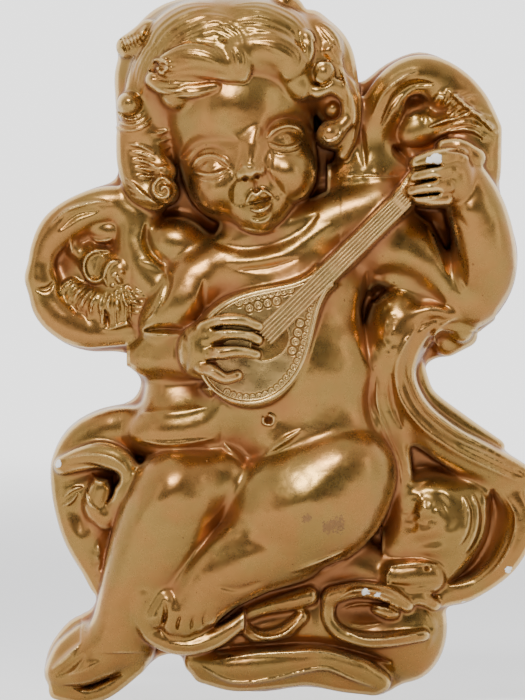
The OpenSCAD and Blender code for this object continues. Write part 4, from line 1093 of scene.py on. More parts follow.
def add_mesh(name, points, faces, normals=None, smooth=True, attributes=()):
    """A mesh object from arrays: faces is a list of arrays, each with one row of corners for each face."""
    mesh = bpy.data.meshes.new(name)
    corners = np.concatenate([f.ravel() for f in faces]).astype(np.int32)
    sizes = np.concatenate([np.full(len(f), f.shape[1]) for f in faces])
    mesh.vertices.add(len(points))
    mesh.vertices.foreach_set("co", np.asarray(points, np.float32).ravel())
    mesh.loops.add(len(corners))
    mesh.loops.foreach_set("vertex_index", corners)
    mesh.polygons.add(len(sizes))
    mesh.polygons.foreach_set("loop_start", (np.cumsum(sizes) - sizes).astype(np.int32))
    mesh.update(calc_edges=True)
    mesh.validate()
    mesh.polygons.foreach_set("use_smooth", np.full(len(mesh.polygons), smooth))
    for label, values in attributes:
        mesh.attributes.new(label, "FLOAT", "POINT").data.foreach_set("value", np.asarray(values, np.float32))
    if normals is not None:
        mesh.normals_split_custom_set_from_vertices(np.asarray(normals, np.float32))
    obj = bpy.data.objects.new(name, mesh)
    bpy.context.scene.collection.objects.link(obj)
    return obj


def finish_piece(obj, body, slot, materials, *nodes):
    for m in materials:
        obj.data.materials.append(m)
    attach(obj, body)
    if nodes:
        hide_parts(*nodes)
    return obj


# Paint: shader maths written as sums.

class Value:
    """A number or a colour in a shader tree. Sums of values become Math nodes."""

    def __init__(self, tree, socket):
        self.tree = tree
        self.socket = socket

    def math(self, operation, *others):
        node = self.tree.nodes.new("ShaderNodeMath")
        node.operation = operation
        for socket, item in zip(node.inputs, (self,) + others):
            if isinstance(item, Value):
                self.tree.links.new(item.socket, socket)
            else:
                socket.default_value = item
        return Value(self.tree, node.outputs[0])

    def __add__(self, other):
        return self.math("ADD", other)

    def __sub__(self, other):
        return self.math("SUBTRACT", other)

    def __mul__(self, other):
        return self.math("MULTIPLY", other)

    def __truediv__(self, other):
        return self.math("DIVIDE", other)

    def __neg__(self):
        return self.math("MULTIPLY", -1.0)

    def __rsub__(self, other):
        return (-self) + other

    __radd__ = __add__
    __rmul__ = __mul__

    def least(self, other):
        return self.math("MINIMUM", other)

    def step(self, low, high):
        """0 below low and 1 above high, with a smooth rise between them."""
        node = self.tree.nodes.new("ShaderNodeMapRange")
        node.interpolation_type = "SMOOTHSTEP"
        self.tree.links.new(self.socket, node.inputs["Value"])
        node.inputs["From Min"].default_value = low
        node.inputs["From Max"].default_value = high
        return Value(self.tree, node.outputs["Result"])


class Paint:
    """A material around one Principled shader."""

    def __init__(self, name, **constants):
        self.material = bpy.data.materials.new(name)
        self.material.use_nodes = True
        self.tree = self.material.node_tree
        self.shader = self.tree.nodes["Principled BSDF"]
        for label, value in constants.items():
            self.shader.inputs[label.replace("_", " ")].default_value = value
        self.place = self.node("ShaderNodeTexCoord", "Object")

    def node(self, kind, output, inputs=None, **settings):
        n = self.tree.nodes.new(kind)
        for key, value in settings.items():
            setattr(n, key, value)
        for label, value in (inputs or {}).items():
            if isinstance(value, Value):
                self.tree.links.new(value.socket, n.inputs[label])
            else:
                n.inputs[label].default_value = value
        return Value(self.tree, n.outputs[output])

    def noise(self, size, detail=2.0, rough=0.5, place=None):
        """Noise around 0.5 whose lumps are about size metres."""
        return self.node("ShaderNodeTexNoise", "Fac", {"Vector": place or self.place, "Scale": 1 / size,
                                                       "Detail": detail, "Roughness": rough})

    def attribute(self, name):
        return self.node("ShaderNodeAttribute", "Fac", attribute_name=name)

    def stretched(self, x, y, z, turn=(0.0, 0.0, 0.0)):
        return self.node("ShaderNodeMapping", "Vector", {"Vector": self.place, "Rotation": turn,
                                                         "Scale": (x, y, z)})

    def blend(self, amount, a, b):
        n = self.tree.nodes.new("ShaderNodeMix")
        n.data_type = "RGBA"
        for socket, value in ((n.inputs[0], amount), (n.inputs[6], a), (n.inputs[7], b)):
            if isinstance(value, Value):
                self.tree.links.new(value.socket, socket)
            else:
                socket.default_value = (*value, 1.0) if hasattr(value, "__len__") else value
        return Value(self.tree, n.outputs[2])

    def near(self, spots):
        """The distance to the nearest of the spots, each (place in the frame, reach): 1 at its reach."""
        found = None
        for place, reach in spots:
            d = self.node("ShaderNodeVectorMath", "Value", {0: self.place, 1: tuple(place)},
                          operation="DISTANCE")
            d = d / reach
            found = d if found is None else found.least(d)
        return found

    def bump(self, height, distance, strength=1.0, under=None):
        inputs = {"Height": height, "Distance": distance, "Strength": strength}
        if under is not None:
            inputs["Normal"] = under
        return self.node("ShaderNodeBump", "Normal", inputs)

    def use(self, **values):
        for label, value in values.items():
            self.tree.links.new(value.socket, self.shader.inputs[label.replace("_", " ")])
        return self.material


# Chips show the white resin, and stains are grime: (place in drawn millimetres, reach).

CHIPS = (((66, 52, 233), 3.4), ((63, 52, 232), 2.6), ((-14, 52, 213.5), 1.3), ((7, 50, 216.5), 1.0),
         ((-96, 24, 103), 1.9), ((36, 34, 47.5), 2.6), ((41, 34, 46), 2.2), ((98, 20, 57), 2.0),
         ((79, 18, 42), 1.7), ((-107, 17, 192), 1.6), ((-84, 22, 212.5), 1.1), ((0, 48, 186), 0.8),
         ((19, 49, 174), 1.0), ((14, 49, 169), 0.9))
STAINS = (((24, 50, 77), 3.0), ((27, 50, 74.5), 2.4), ((20, 50, 76), 2.0), ((31, 50, 72), 1.6),
          ((11, 52, 80), 1.4))


def paint_gold(settings, paler=0.0):
    """Old gold paint: olive gold, copper wash and painted shade, pale wear and painted highlight, chips,
    grime.
    """
    p = Paint("rubbed gold" if paler else "old gold", Metallic=0.0, Coat_Weight=0.12, Coat_Roughness=0.28)
    hollow_and_shade = p.attribute("hollow_and_shade")
    crevice = p.attribute("crevice")
    broad = p.noise(0.022, 3.0, 0.55)
    medium = p.noise(0.006, 3.0, 0.6)
    fine = p.noise(0.0016, 2.0, 0.6)
    grain = p.noise(0.0005, 1.0)
    patch = broad - 0.5
    # Copper: wash in hollows, and painted shade in the same copper on faces turned sideways and downwards.
    wash_and_shade = (hollow_and_shade + patch * 6.0 + (medium - 0.5) * 2.0).step(-0.6, settings.wash_depth)
    # Dark lines in fine grooves: dark wash, and the shade that falls in them painted in.
    lines = (crevice + (medium - 0.5) * 0.6).step(0.15, 1.3)
    # Lighter gold on raised edges: rubbed wear, and a painted highlight on the ridges.
    wear_and_highlight = (0.0 - crevice + (fine - 0.5) * 0.35).step(0.12, 0.75)
    gold = p.blend((patch * 2.2 + 0.5).step(0.2, 0.8), settings.gold, settings.gold_warm)
    base = p.blend(wash_and_shade * 0.88, gold, settings.wash_and_shade)
    base = p.blend(lines * 0.55, base, settings.dark_wash_and_shade)
    # The lighter copy for the mandolin's trim: full lighter gold on raised edges, a quarter of it everywhere.
    base = p.blend(wear_and_highlight * (0.55 + 0.45 * paler) + 0.25 * paler, base, settings.gold_wear_and_highlight)
    grime = p.near([(to_frame(*place), reach * MM * 1.5) for place, reach in STAINS])
    grime = 1.0 - (grime + (fine - 0.5) * 2.4).step(0.7, 1.0)
    base = p.blend(grime * 0.55, base, settings.dark_wash_and_shade)
    pits = p.node("ShaderNodeTexVoronoi", "Distance", {"Vector": p.place, "Scale": 150.0})
    pits = 1.0 - (pits + (medium - 0.5) * 0.10).step(0.03, 0.075)
    base = p.blend(pits * 0.5, base, settings.dark_wash_and_shade)
    chip = p.near([(to_frame(*place), reach * MM) for place, reach in CHIPS])
    chip = 1.0 - (chip + (fine - 0.5) * 1.3).step(0.78, 0.92)
    base = p.blend(chip, base, (0.78, 0.76, 0.72))
    rough = settings.roughness + wash_and_shade * 0.10 + (fine - 0.5) * 0.10 + (medium - 0.5) * 0.16 + lines * 0.08
    rough = p.node("ShaderNodeClamp", "Result", {"Value": rough + chip * 0.4, "Min": 0.16, "Max": 0.9})
    metal = (0.90 - wash_and_shade * 0.22 - grime * 0.3) * (1.0 - chip)
    height = medium * 0.30 + fine * 0.10 + grain * 0.05 - pits * 0.6 - chip * 0.7
    waves = p.bump(p.noise(0.011, 1.5, 0.5), 0.0016, 0.5)
    return p.use(Base_Color=base, Roughness=rough, Metallic=metal,
                 Normal=p.bump(height, 0.00045, 0.55, waves))


def paint_resin():
    """Unpainted cast resin: pale, with darker swirls from the pour."""
    p = Paint("cast resin", Metallic=0.0, Roughness=0.7)
    swirl = p.noise(0.004, 3.0, 0.6, p.stretched(1.0, 1.0, 5.0, (0.0, 0.5, 0.0)))
    spots = p.noise(0.03, 4.0, 0.6)
    base = p.blend(spots.step(0.35, 0.7), (0.66, 0.60, 0.49), (0.52, 0.45, 0.35))
    base = p.blend(swirl.step(0.6, 0.8) * 0.3, base, (0.38, 0.30, 0.21))
    return p.use(Base_Color=base, Normal=p.bump(swirl, 0.0004, 0.4))


def paint_steel():
    """Zinc-plated steel, drawn along its length and dulled in patches."""
    p = Paint("zinc plate", Metallic=1.0)
    brushed = p.noise(0.0015, 2.0, 0.5, p.stretched(1.0, 1.0, 0.12))
    spots = p.noise(0.004, 3.0, 0.6)
    base = p.blend(spots.step(0.35, 0.75), (0.34, 0.34, 0.34), (0.24, 0.22, 0.19))
    rough = 0.26 + brushed * 0.16 + spots.step(0.5, 0.8) * 0.2
    return p.use(Base_Color=base, Roughness=rough, Normal=p.bump(brushed, 0.0001, 0.3))


def material(name, make):
    """The material of that name, made the first time that it is asked for."""
    return bpy.data.materials.get(name) or make()


def gold_material():
    return material("old gold", lambda: paint_gold(bpy.context.scene.putto_paint))


# The lighter copy of the gold, for the mandolin's trim: lighter all over, and fully so on raised edges.
def light_gold_material():
    return material("rubbed gold", lambda: paint_gold(bpy.context.scene.putto_paint, paler=1.0))


def resin_material():
    return material("cast resin", paint_resin)


def steel_material():
    return material("zinc plate", paint_steel)


# Repeated pieces: Geometry Nodes trees that are run once and kept as plain meshes.

class Tree:
    """A Geometry Nodes tree with named inputs and a fixed seed."""

    def __init__(self, name, **inputs):
        self.group = bpy.data.node_groups.new(name, "GeometryNodeTree")
        face = self.group.interface
        face.new_socket("Geometry", in_out="INPUT", socket_type="NodeSocketGeometry")
        for label, value in inputs.items():
            if isinstance(value, bpy.types.Material):
                kind = "NodeSocketMaterial"
            else:
                kind = "NodeSocketInt" if isinstance(value, int) else "NodeSocketFloat"
            face.new_socket(label, in_out="INPUT", socket_type=kind)
        face.new_socket("Geometry", in_out="OUTPUT", socket_type="NodeSocketGeometry")
        self.values = inputs
        self.start = self.group.nodes.new("NodeGroupInput")
        self.end = self.group.nodes.new("NodeGroupOutput")

    def given(self, label):
        return self.start.outputs[label]

    def node(self, kind, inputs=None, **settings):
        n = self.group.nodes.new(kind)
        for key, value in settings.items():
            setattr(n, key, value)
        for label, value in (inputs or {}).items():
            if isinstance(value, bpy.types.NodeSocket):
                self.group.links.new(value, n.inputs[label])
            else:
                n.inputs[label].default_value = value
        return n

    def run(self, name, geometry, start):
        """Ends the tree with geometry, and returns its result on the object start as a plain mesh object."""
        real = self.node("GeometryNodeRealizeInstances", {"Geometry": geometry})
        painted = self.node("GeometryNodeSetMaterial", {"Geometry": real.outputs[0],
                                                        "Material": self.given("Material")})
        self.group.links.new(painted.outputs[0], self.end.inputs[0])
        modifier = start.modifiers.new("Made", "NODES")
        modifier.node_group = self.group
        for item in self.group.interface.items_tree:
            if item.in_out == "INPUT" and item.name in self.values:
                modifier[item.identifier] = self.values[item.name]
        bpy.context.view_layer.update()
        result = start.evaluated_get(bpy.context.evaluated_depsgraph_get())
        mesh = bpy.data.meshes.new_from_object(result)
        mesh.name = name
        bpy.data.objects.remove(start)
        obj = bpy.data.objects.new(name, mesh)
        bpy.context.scene.collection.objects.link(obj)
        # Pieces that bring no values get no copper wash or painted shade, and some of the lighter gold of
        # raised edges.
        for label in ("hollow_and_shade", "crevice"):
            if label not in mesh.attributes:
                values = np.full(len(mesh.vertices), -0.4 if label == "crevice" else -2.0, np.float32)
                mesh.attributes.new(label, "FLOAT", "POINT").data.foreach_set("value", values)
        mesh.polygons.foreach_set("use_smooth", np.full(len(mesh.polygons), True))
        return obj


def path_object(name, lines, closed):
    """A curve object of straight runs through the points of each line, in the frame."""
    curve = bpy.data.curves.new(name, "CURVE")
    curve.dimensions = "3D"
    for points in lines:
        run = curve.splines.new("POLY")
        run.points.add(len(points) - 1)
        run.points.foreach_set("co",
                               np.column_stack([points, np.ones(len(points))]).astype(np.float32).ravel())
        run.use_cyclic_u = closed
    obj = bpy.data.objects.new(name, curve)
    bpy.context.scene.collection.objects.link(obj)
    return obj


def swept(name, lines, closed, radius, sides, paint):
    """A bead of one radius along each line."""
    tree = Tree(name, Radius=radius, Sides=sides, Material=paint)
    ring = tree.node("GeometryNodeCurvePrimitiveCircle", {"Resolution": tree.given("Sides"),
                                                          "Radius": tree.given("Radius")})
    bead = tree.node("GeometryNodeCurveToMesh", {"Curve": tree.given("Geometry"),
                                                 "Profile Curve": ring.outputs[0], "Fill Caps": True})
    return tree.run(name, bead.outputs[0], path_object(name, lines, closed))


# The mandolin's trim.

def outward(rows):
    """Faces between neighbouring rows of points, each a closed loop, with the first and last rows capped."""
    m, n = len(rows), len(rows[0])
    i, j = np.indices((m - 1, n))
    k = (j + 1) % n
    quads = np.stack([i * n + j, i * n + k, (i + 1) * n + k, (i + 1) * n + j], -1).reshape(-1, 4)
    faces = [quads, np.arange(n)[::-1][None], (m - 1) * n + np.arange(n)[None]]
    points = np.concatenate(rows)
    a, b, c, d = (points[quads[:, corner]] - points.mean(0) for corner in range(4))
    if (np.cross(a, b) * c + np.cross(a, c) * d).sum() < 0:
        faces = [face[:, ::-1] for face in faces]
    return points, faces


def make_soundboard():
    """A thin plate with a rounded edge and, under the strings, an oval sound hole."""
    n = 280
    edge = mandolin_edge(0.9, n)
    middle = np.array([6.0, 0.0])
    rings = np.linspace(1, 0.02, 80)
    points, tops, marks = [], [], []
    places = np.array(ring_places(bpy.context.scene.putto_mandolin))
    for t in rings:
        p = middle + (edge - middle) * t
        u, v = p[:, 0], p[:, 1]
        hole = np.hypot((u - 9.5) / 8.6, (v + 3.2) / 6.4)
        sunk = 1.9 * np.clip((1.04 - hole) / 0.12, 0, 1)
        lip = 0.35 * np.exp(-((hole - 1.09) / 0.05) ** 2)
        crown = 0.25 * (1 - t * t)
        reach = np.hypot(u[:, None] - places[:, 0], v[:, None] - places[:, 1]) / places[:, 2]
        reach = reach.min(1)
        groove = np.exp(-((reach - 1.22) / 0.2) ** 2) + 0.9 * np.exp(-(reach / 0.45) ** 2)
        dome = 0.3 * np.clip(1.1 - reach, 0, 0.4)
        points.append(p)
        tops.append(BOARD_TOP - 0.35 + crown + lip - sunk - 0.55 * groove + dome)
        # The grooves round the rings get the dark lines of wash and painted shade.
        marks.append(3.0 * groove - 0.12)
    under = [edge, edge]
    depths = [np.full(len(edge), BOARD_TOP - 2.4), np.full(len(edge), BOARD_TOP - 0.6)]
    rows = [on_mandolin(p[:, 0], p[:, 1], d) for p, d in zip(under + points, depths + tops)]
    shape, faces = outward(rows)
    hollow_and_shade = np.concatenate([np.full(2 * len(edge), -2.0)] + [3.4 * (BOARD_TOP - 0.9 - d) for d in tops])
    return add_mesh("soundboard", shape, faces,
                    attributes=(("hollow_and_shade", np.clip(hollow_and_shade, -1.2, 6)),
                                ("crevice", np.concatenate([np.zeros(2 * len(edge))] + marks))))


def make_fingerboard():
    """The flat strip under the strings, a little wider at the sound hole, with a nut across its far end."""
    rows = []
    for u, half in zip(np.linspace(9.6, NECK_END - 0.4, 40), np.linspace(STRIP_HALF, 3.7, 40)):
        low, high = BOARD_TOP - 1.2, FINGER_TOP - 0.1
        if u > NUT:
            high += 0.9
        v = np.array([-half, -half, -half + 0.35, half - 0.35, half, half])
        d = np.array([low, high - 0.35, high, high, high - 0.35, low])
        rows.append(on_mandolin(np.full(6, u), v, d))
    shape, faces = outward(rows)
    # The whole strip gets a fixed share of the copper and of the dark groove colour.
    return add_mesh("fingerboard", shape, faces, smooth=False,
                    attributes=(("hollow_and_shade", np.full(len(shape), 0.8)), ("crevice", np.full(len(shape), 0.45))))


def ring_places(settings):
    """Where the inlaid rings stand on the board, as (u, v, radius)."""
    places = []
    pitch, r = settings.ring_pitch, settings.ring_radius
    for inset, size, spread in ((3.1, r * 0.8, 0.86), (7.0, r * 1.05, 1.22)):
        line = mandolin_edge(inset, 400)[::-1]
        run = np.concatenate([[0], np.cumsum(np.hypot(*np.diff(line, axis=0).T))])
        at = np.arange(3.0, run[-1], pitch * spread)
        u, v = np.interp(at, run, line[:, 0]), np.interp(at, run, line[:, 1])
        for a, b in zip(u, v):
            if b < -STRIP_HALF - size * 0.5 and (inset < 5 or a > 12):
                places.append((a, b, size))
            elif b > STRIP_HALF + size * 0.5 and a > 10 and inset < 5:
                places.append((a, b + 0.4, size * 1.25))
            elif b > STRIP_HALF + size and a > 11:
                places.append((a, b, size))
    return places


def make_rings(settings):
    """Rings with a crescent inside each, stood on the board as a pattern."""
    places = ring_places(settings)
    points = np.array([on_mandolin(u, v, BOARD_TOP - 0.15) for u, v, _ in places])
    start = add_mesh("ring_places", points, [np.zeros((0, 3), int)],
                     attributes=(("size", [r * MM * SCALE for _, _, r in places]),
                                 ("spin", [0.7 * i + BOWL_TURN for i in range(len(places))])))
    tree = Tree("inlay_rings", Wire=0.2, Seed=7, Material=light_gold_material())
    size = tree.node("GeometryNodeInputNamedAttribute", {"Name": "size"}, data_type="FLOAT")
    spin = tree.node("GeometryNodeInputNamedAttribute", {"Name": "spin"}, data_type="FLOAT")
    wire = tree.node("GeometryNodeCurvePrimitiveCircle", {"Resolution": 8, "Radius": tree.given("Wire")})
    ring = tree.node("GeometryNodeCurvePrimitiveCircle", {"Resolution": 28, "Radius": 0.86})
    arc = tree.node("GeometryNodeCurveArc", {"Resolution": 14, "Radius": 0.36, "Sweep Angle": 4.2})
    parts = tree.node("GeometryNodeJoinGeometry")
    for line, caps in ((ring, False), (arc, True)):
        bead = tree.node("GeometryNodeCurveToMesh", {"Curve": line.outputs[0],
                                                     "Profile Curve": wire.outputs[0], "Fill Caps": caps})
        tree.group.links.new(bead.outputs[0], parts.inputs[0])
    shake = tree.node("FunctionNodeRandomValue", {"Min": 0.92, "Max": 1.08, "Seed": tree.given("Seed")},
                      data_type="FLOAT")
    shake_out = next(o for o in shake.outputs if o.enabled and o.type == "VALUE")
    scaled = tree.node("ShaderNodeMath", {0: size.outputs[0], 1: shake_out}, operation="MULTIPLY")
    turn = tree.node("ShaderNodeCombineXYZ", {"X": math.pi / 2, "Y": spin.outputs[0]})
    many = tree.node("GeometryNodeInstanceOnPoints", {"Points": tree.given("Geometry"),
                                                      "Instance": parts.outputs[0],
                                                      "Rotation": turn.outputs[0],
                                                      "Scale": scaled.outputs[0]})
    return tree.run("inlay_rings", many.outputs[0], start)


def make_strings(settings):
    """Strings from the sound hole over the nut, spreading a little towards the bridge."""
    count = settings.strings
    gap = 6.9 / (count - 1)
    lines = []
    for i in range(count):
        v = (i - (count - 1) / 2) * gap
        u = np.linspace(9.0, NECK_END + 0.4, 60)
        wave = 0.06 * np.sin(u * 0.35 + i)
        taper = 1.12 - 0.22 * (u - 9) / 84
        lines.append(on_mandolin(u, v * taper + wave, FINGER_TOP - 0.02 + 0.75 * (u > NUT)))
    return swept("strings", lines, False, settings.string_width / 2 * SCALE, 8, light_gold_material())


def make_binding():
    """Two beads along the board's edge with a groove between them."""
    lines = []
    for inset, depth in ((0.75, 46.45), (2.0, 46.25)):
        p = mandolin_edge(inset, 170)
        p = p[p[:, 0] < NECK_JOINT - 2.5]
        lines.append(on_mandolin(p[:, 0], p[:, 1], depth))
    outer = swept("binding", lines[:1], False, 0.72 * MM, 12, light_gold_material())
    inner = swept("binding_inner", lines[1:], False, 0.42 * MM, 10, light_gold_material())
    return outer, inner


# The hanger, in metres, from its nodes' boxes.

def make_screws(material):
    """Domed screws with a cross slot, the same one twice, down the middle of the strap."""
    low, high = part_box("hanger_screws")
    radius = (high.x - low.x) / 2
    drop = (high.z - low.z) - 2 * radius
    tip, shank, point = 0.0006, 0.0015, 0.002
    under_head = high.y - 0.0011
    dome, slot_depth, slot_half, slot_turn = 0.0008, 0.0007, 0.00036, 0.4
    turn = np.linspace(0, 2 * np.pi, 97)[:-1]
    rows = [(r, np.full(len(turn), y)) for r, y in ((tip, low.y), (shank, low.y + point), (shank, under_head),
                                                    (radius, under_head))]
    for r in np.linspace(radius, 0.00002, 26):
        a, b = r * np.cos(turn + slot_turn), r * np.sin(turn + slot_turn)
        slot = (np.minimum(abs(a), abs(b)) < slot_half) & (r < 0.62 * radius)
        rows.append((r, high.y - dome * (r / radius) ** 2.5 - slot_depth * slot))
    rows = [np.stack([r * np.cos(turn), y, r * np.sin(turn)], 1) for r, y in rows]
    shape, faces = outward(rows)
    tree = Tree("hanger_screws", Drop=drop, Material=material)
    down = tree.node("ShaderNodeMath", {0: tree.given("Drop"), 1: -1.0}, operation="MULTIPLY")
    offset = tree.node("ShaderNodeCombineXYZ", {"Z": down.outputs[0]})
    first = ((low.x + high.x) / 2, 0, high.z - radius)
    line = tree.node("GeometryNodeMeshLine", {"Count": 2, "Start Location": first,
                                              "Offset": offset.outputs[0]})
    many = tree.node("GeometryNodeInstanceOnPoints", {"Points": line.outputs[0],
                                                      "Instance": tree.given("Geometry")})
    return tree.run("hanger_screws_driven", many.outputs[0], add_mesh("screw", shape, faces))


def make_hanging_ring(material):
    """The wire ring, bent to a D, with a small bend at each corner."""
    low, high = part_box("hanger_ring")
    wire = (high.y - low.y) / 2
    half = (high.x - low.x) / 2 - wire
    arc = np.linspace(0, np.pi, 33)
    bend = np.radians(np.linspace(-90, 0, 7))
    corner = 0.0012
    right = np.stack([half - corner + corner * np.cos(bend), corner + corner * np.sin(bend)], 1)
    top = np.stack([half * np.cos(arc), high.z - low.z - 2 * wire - half + half * np.sin(arc)], 1)
    path = np.concatenate([[(0, 0), (half / 2, 0)], right, top, right[::-1] * (-1, 1), [(-half / 2, 0)]])
    points = np.column_stack([path[:, 0] + (low.x + high.x) / 2, np.full(len(path), low.y + wire),
                              path[:, 1] + low.z + wire])
    return swept("hanger_ring_wire", [points], True, wire * 0.985, 24, material)


# Settings.

def size_property(name, description, default, low, high):
    return FloatProperty(name=name, description=description, default=default, min=low, max=high,
                         unit="LENGTH", precision=5)


def colour_property(name, description, default):
    return FloatVectorProperty(name=name, description=description, default=default, min=0, max=1,
                               subtype="COLOR")


class PuttoClay(PropertyGroup):
    cell: size_property("Cell", "Distance between the points that the clay is sampled on", 0.00058, 0.0004,
                        0.003)
    quick_cell: size_property("Quick cell", "The same distance for a quick look", 0.00115, 0.0006, 0.005)
    wash_reach: size_property("Wash reach", "How far around itself a place is compared to find hollows",
                              0.0060, 0.001, 0.02)


class PuttoPaint(PropertyGroup):
    gold: colour_property("Gold", "Main colour of the gold paint", (0.275, 0.158, 0.040))
    gold_warm: colour_property("Warm gold", "Colour of the patches where the gold is thin",
                               (0.310, 0.145, 0.037))
    # Colour of raised edges: rubbed wear, and a painted highlight.
    gold_wear_and_highlight: colour_property("Rubbed gold", "Colour of raised edges", (0.76, 0.53, 0.22))
    # The copper also paints shade on faces turned sideways and downwards.
    wash_and_shade: colour_property("Wash", "Colour of the copper brown wash in the hollows", (0.29, 0.105, 0.028))
    # The dark wash colour also paints the shade in fine grooves, besides grime and pits.
    dark_wash_and_shade: colour_property("Dark wash", "Colour of the wash in fine grooves", (0.13, 0.045, 0.016))
    wash_depth: FloatProperty(name="Wash depth", description="Depth of hollow, in mm, that is fully washed",
                              default=3.6, min=1, max=20)
    roughness: FloatProperty(name="Roughness", description="Roughness of the gold paint", default=0.28,
                             min=0.1, max=0.9)


class PuttoMandolin(PropertyGroup):
    strings: IntProperty(name="Strings", description="Number of strings", default=6, min=3, max=9)
    string_width: size_property("String width", "Thickness of one string", 0.00062, 0.0002, 0.001)
    ring_pitch: FloatProperty(name="Ring pitch", description="Distance in mm between rings", default=3.3,
                              min=2, max=8)
    ring_radius: FloatProperty(name="Ring radius", description="Radius of a ring in mm", default=1.55,
                               min=0.5, max=4)


class PuttoStage(PropertyGroup):
    key: FloatProperty(name="Key light", description="Power of the main soft light", default=12.5, min=0,
                       unit="POWER")
    fill: FloatProperty(name="Fill light", description="Power of the side light", default=1.1, min=0,
                        unit="POWER")
    distance: size_property("Camera distance", "From the camera to the middle of the figure", 2.2, 0.3, 6.0)
    floor: colour_property("Floor", "Colour of the floor", (0.86, 0.86, 0.87))


SETTINGS = {"putto_clay": PuttoClay, "putto_paint": PuttoPaint, "putto_mandolin": PuttoMandolin,
            "putto_stage": PuttoStage}


# Operators, one for each piece or group of like pieces.

# The clay's box in drawn millimetres: (across, up), then (across, away from the wall, up).
CLAY_LOW = (-114, -3)
CLAY_HIGH = (116, 63, 309)

RECESS_GAP = 2.6
RECESS_DEPTH = 5.0
BARE_DEPTH = 6.2 * MM    # faces nearer the wall than this, and turned to it, are left unpainted


def recess_field(g):
    """The hanger's pocket in the back, as a field that is negative inside."""
    x, z = g.axis(0, 0, g.n[0])[:, None, None], g.axis(2, 0, g.n[2])[None, None, :]
    d = g.axis(1, 0, g.n[1])[None, :, None]
    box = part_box("hanger_ring")
    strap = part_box("hanger_strap")
    left, right = box[0].x / MM - RECESS_GAP, box[1].x / MM + RECESS_GAP
    low = strap[0].z / MM + FOOT_TO_MIDDLE - RECESS_GAP
    high = box[1].z / MM + FOOT_TO_MIDDLE + RECESS_GAP
    side = np.maximum(np.maximum(left - x, x - right), np.maximum(low - z, z - high))
    return np.maximum(side, d - RECESS_DEPTH)


class PuttoOperator:
    bl_options = {"REGISTER", "UNDO"}


class PUTTO_OT_figure(PuttoOperator, Operator):
    """Models the whole casting in clay and casts it as one closed mesh for each named piece"""
    bl_idname = "putto.figure"
    bl_label = "Figure"

    def execute(self, context):
        settings = context.scene.putto_clay
        step = settings.cell / MM
        g = Lattice((CLAY_LOW[0], -2.5 * step, CLAY_LOW[1]), CLAY_HIGH, step)
        field, owner = assemble(g, [make(g) for make in PIECES])
        field = smooth_max(field, -g.axis(1, 0, g.n[1])[None, :, None], 0)
        field = smooth_max(field, -recess_field(g), 0)
        crest = crest_map(g, field)
        around = blurred(crest, int(settings.wash_reach / MM / step))
        beside = blurred(crest, max(1, int(0.9 / step)))
        gold, resin = gold_material(), resin_material()
        for number, (points, normals, quads, triangles) in cast(g, field, owner).items():
            name = PIECES[number - 1].__name__
            x, depth, z = points.T
            # Copper wash in hollows, plus painted shade: more copper where a face turns from the front, and
            # where it faces down.
            hollow_and_shade = sample(g, around, x, z) - depth - 1.0 + 2.6 * (1 - normals[:, 1]) - 1.0 * normals[:, 2]
            # Fine grooves, for dark lines of wash and painted shade; only faces turned to the front get them.
            crevice = np.where(depth > sample(g, crest, x, z) - 1.5, sample(g, beside, x, z) - depth, 0.3)
            crevice = crevice * np.clip((normals[:, 1] - 0.15) / 0.3, 0, 1)
            turned = normals * (1, -1, 1)
            faces = [quads[:, ::-1], triangles[:, ::-1]]
            obj = add_mesh(name + "_cast", to_frame(x, depth, z), faces, turned,
                           attributes=(("hollow_and_shade", hollow_and_shade), ("crevice", crevice)))
            finish_piece(obj, "root", "gold_paint", (gold, resin), name)
            flat = np.empty(len(obj.data.polygons) * 3, np.float32)
            obj.data.polygons.foreach_get("normal", flat)
            middle = np.empty(len(obj.data.polygons) * 3, np.float32)
            obj.data.polygons.foreach_get("center", middle)
            bare = (flat[1::3] > 0.7) & (middle[1::3] > -BARE_DEPTH)
            obj.data.polygons.foreach_set("material_index", bare.astype(np.int32))
        return {"FINISHED"}


class PUTTO_OT_soundboard(PuttoOperator, Operator):
    """The mandolin's face, with its sound hole"""
    bl_idname = "putto.soundboard"
    bl_label = "Soundboard"

    def execute(self, context):
        finish_piece(make_soundboard(), "root", "gold_light", (light_gold_material(),), "mandolin_soundboard",
                     "mandolin_rose")
        return {"FINISHED"}


class PUTTO_OT_fingerboard(PuttoOperator, Operator):
    """The strip under the strings"""
    bl_idname = "putto.fingerboard"
    bl_label = "Fingerboard"

    def execute(self, context):
        finish_piece(make_fingerboard(), "root", "gold_light", (light_gold_material(),),
                     "mandolin_fingerboard")
        return {"FINISHED"}


class PUTTO_OT_binding(PuttoOperator, Operator):
    """The beads along the soundboard's edge"""
    bl_idname = "putto.binding"
    bl_label = "Binding"

    def execute(self, context):
        outer, inner = make_binding()
        finish_piece(outer, "root", "gold_light", (), "mandolin_binding")
        finish_piece(inner, "root", "gold_light", ())
        return {"FINISHED"}


class PUTTO_OT_inlay(PuttoOperator, Operator):
    """The rings on the soundboard"""
    bl_idname = "putto.inlay"
    bl_label = "Inlaid rings"

    def execute(self, context):
        finish_piece(make_rings(context.scene.putto_mandolin), "root", "gold_light", (), "mandolin_inlay")
        return {"FINISHED"}


class PUTTO_OT_strings(PuttoOperator, Operator):
    """The strings along the fingerboard"""
    bl_idname = "putto.strings"
    bl_label = "Strings"

    def execute(self, context):
        finish_piece(make_strings(context.scene.putto_mandolin), "root", "gold_light", (), "mandolin_strings")
        return {"FINISHED"}


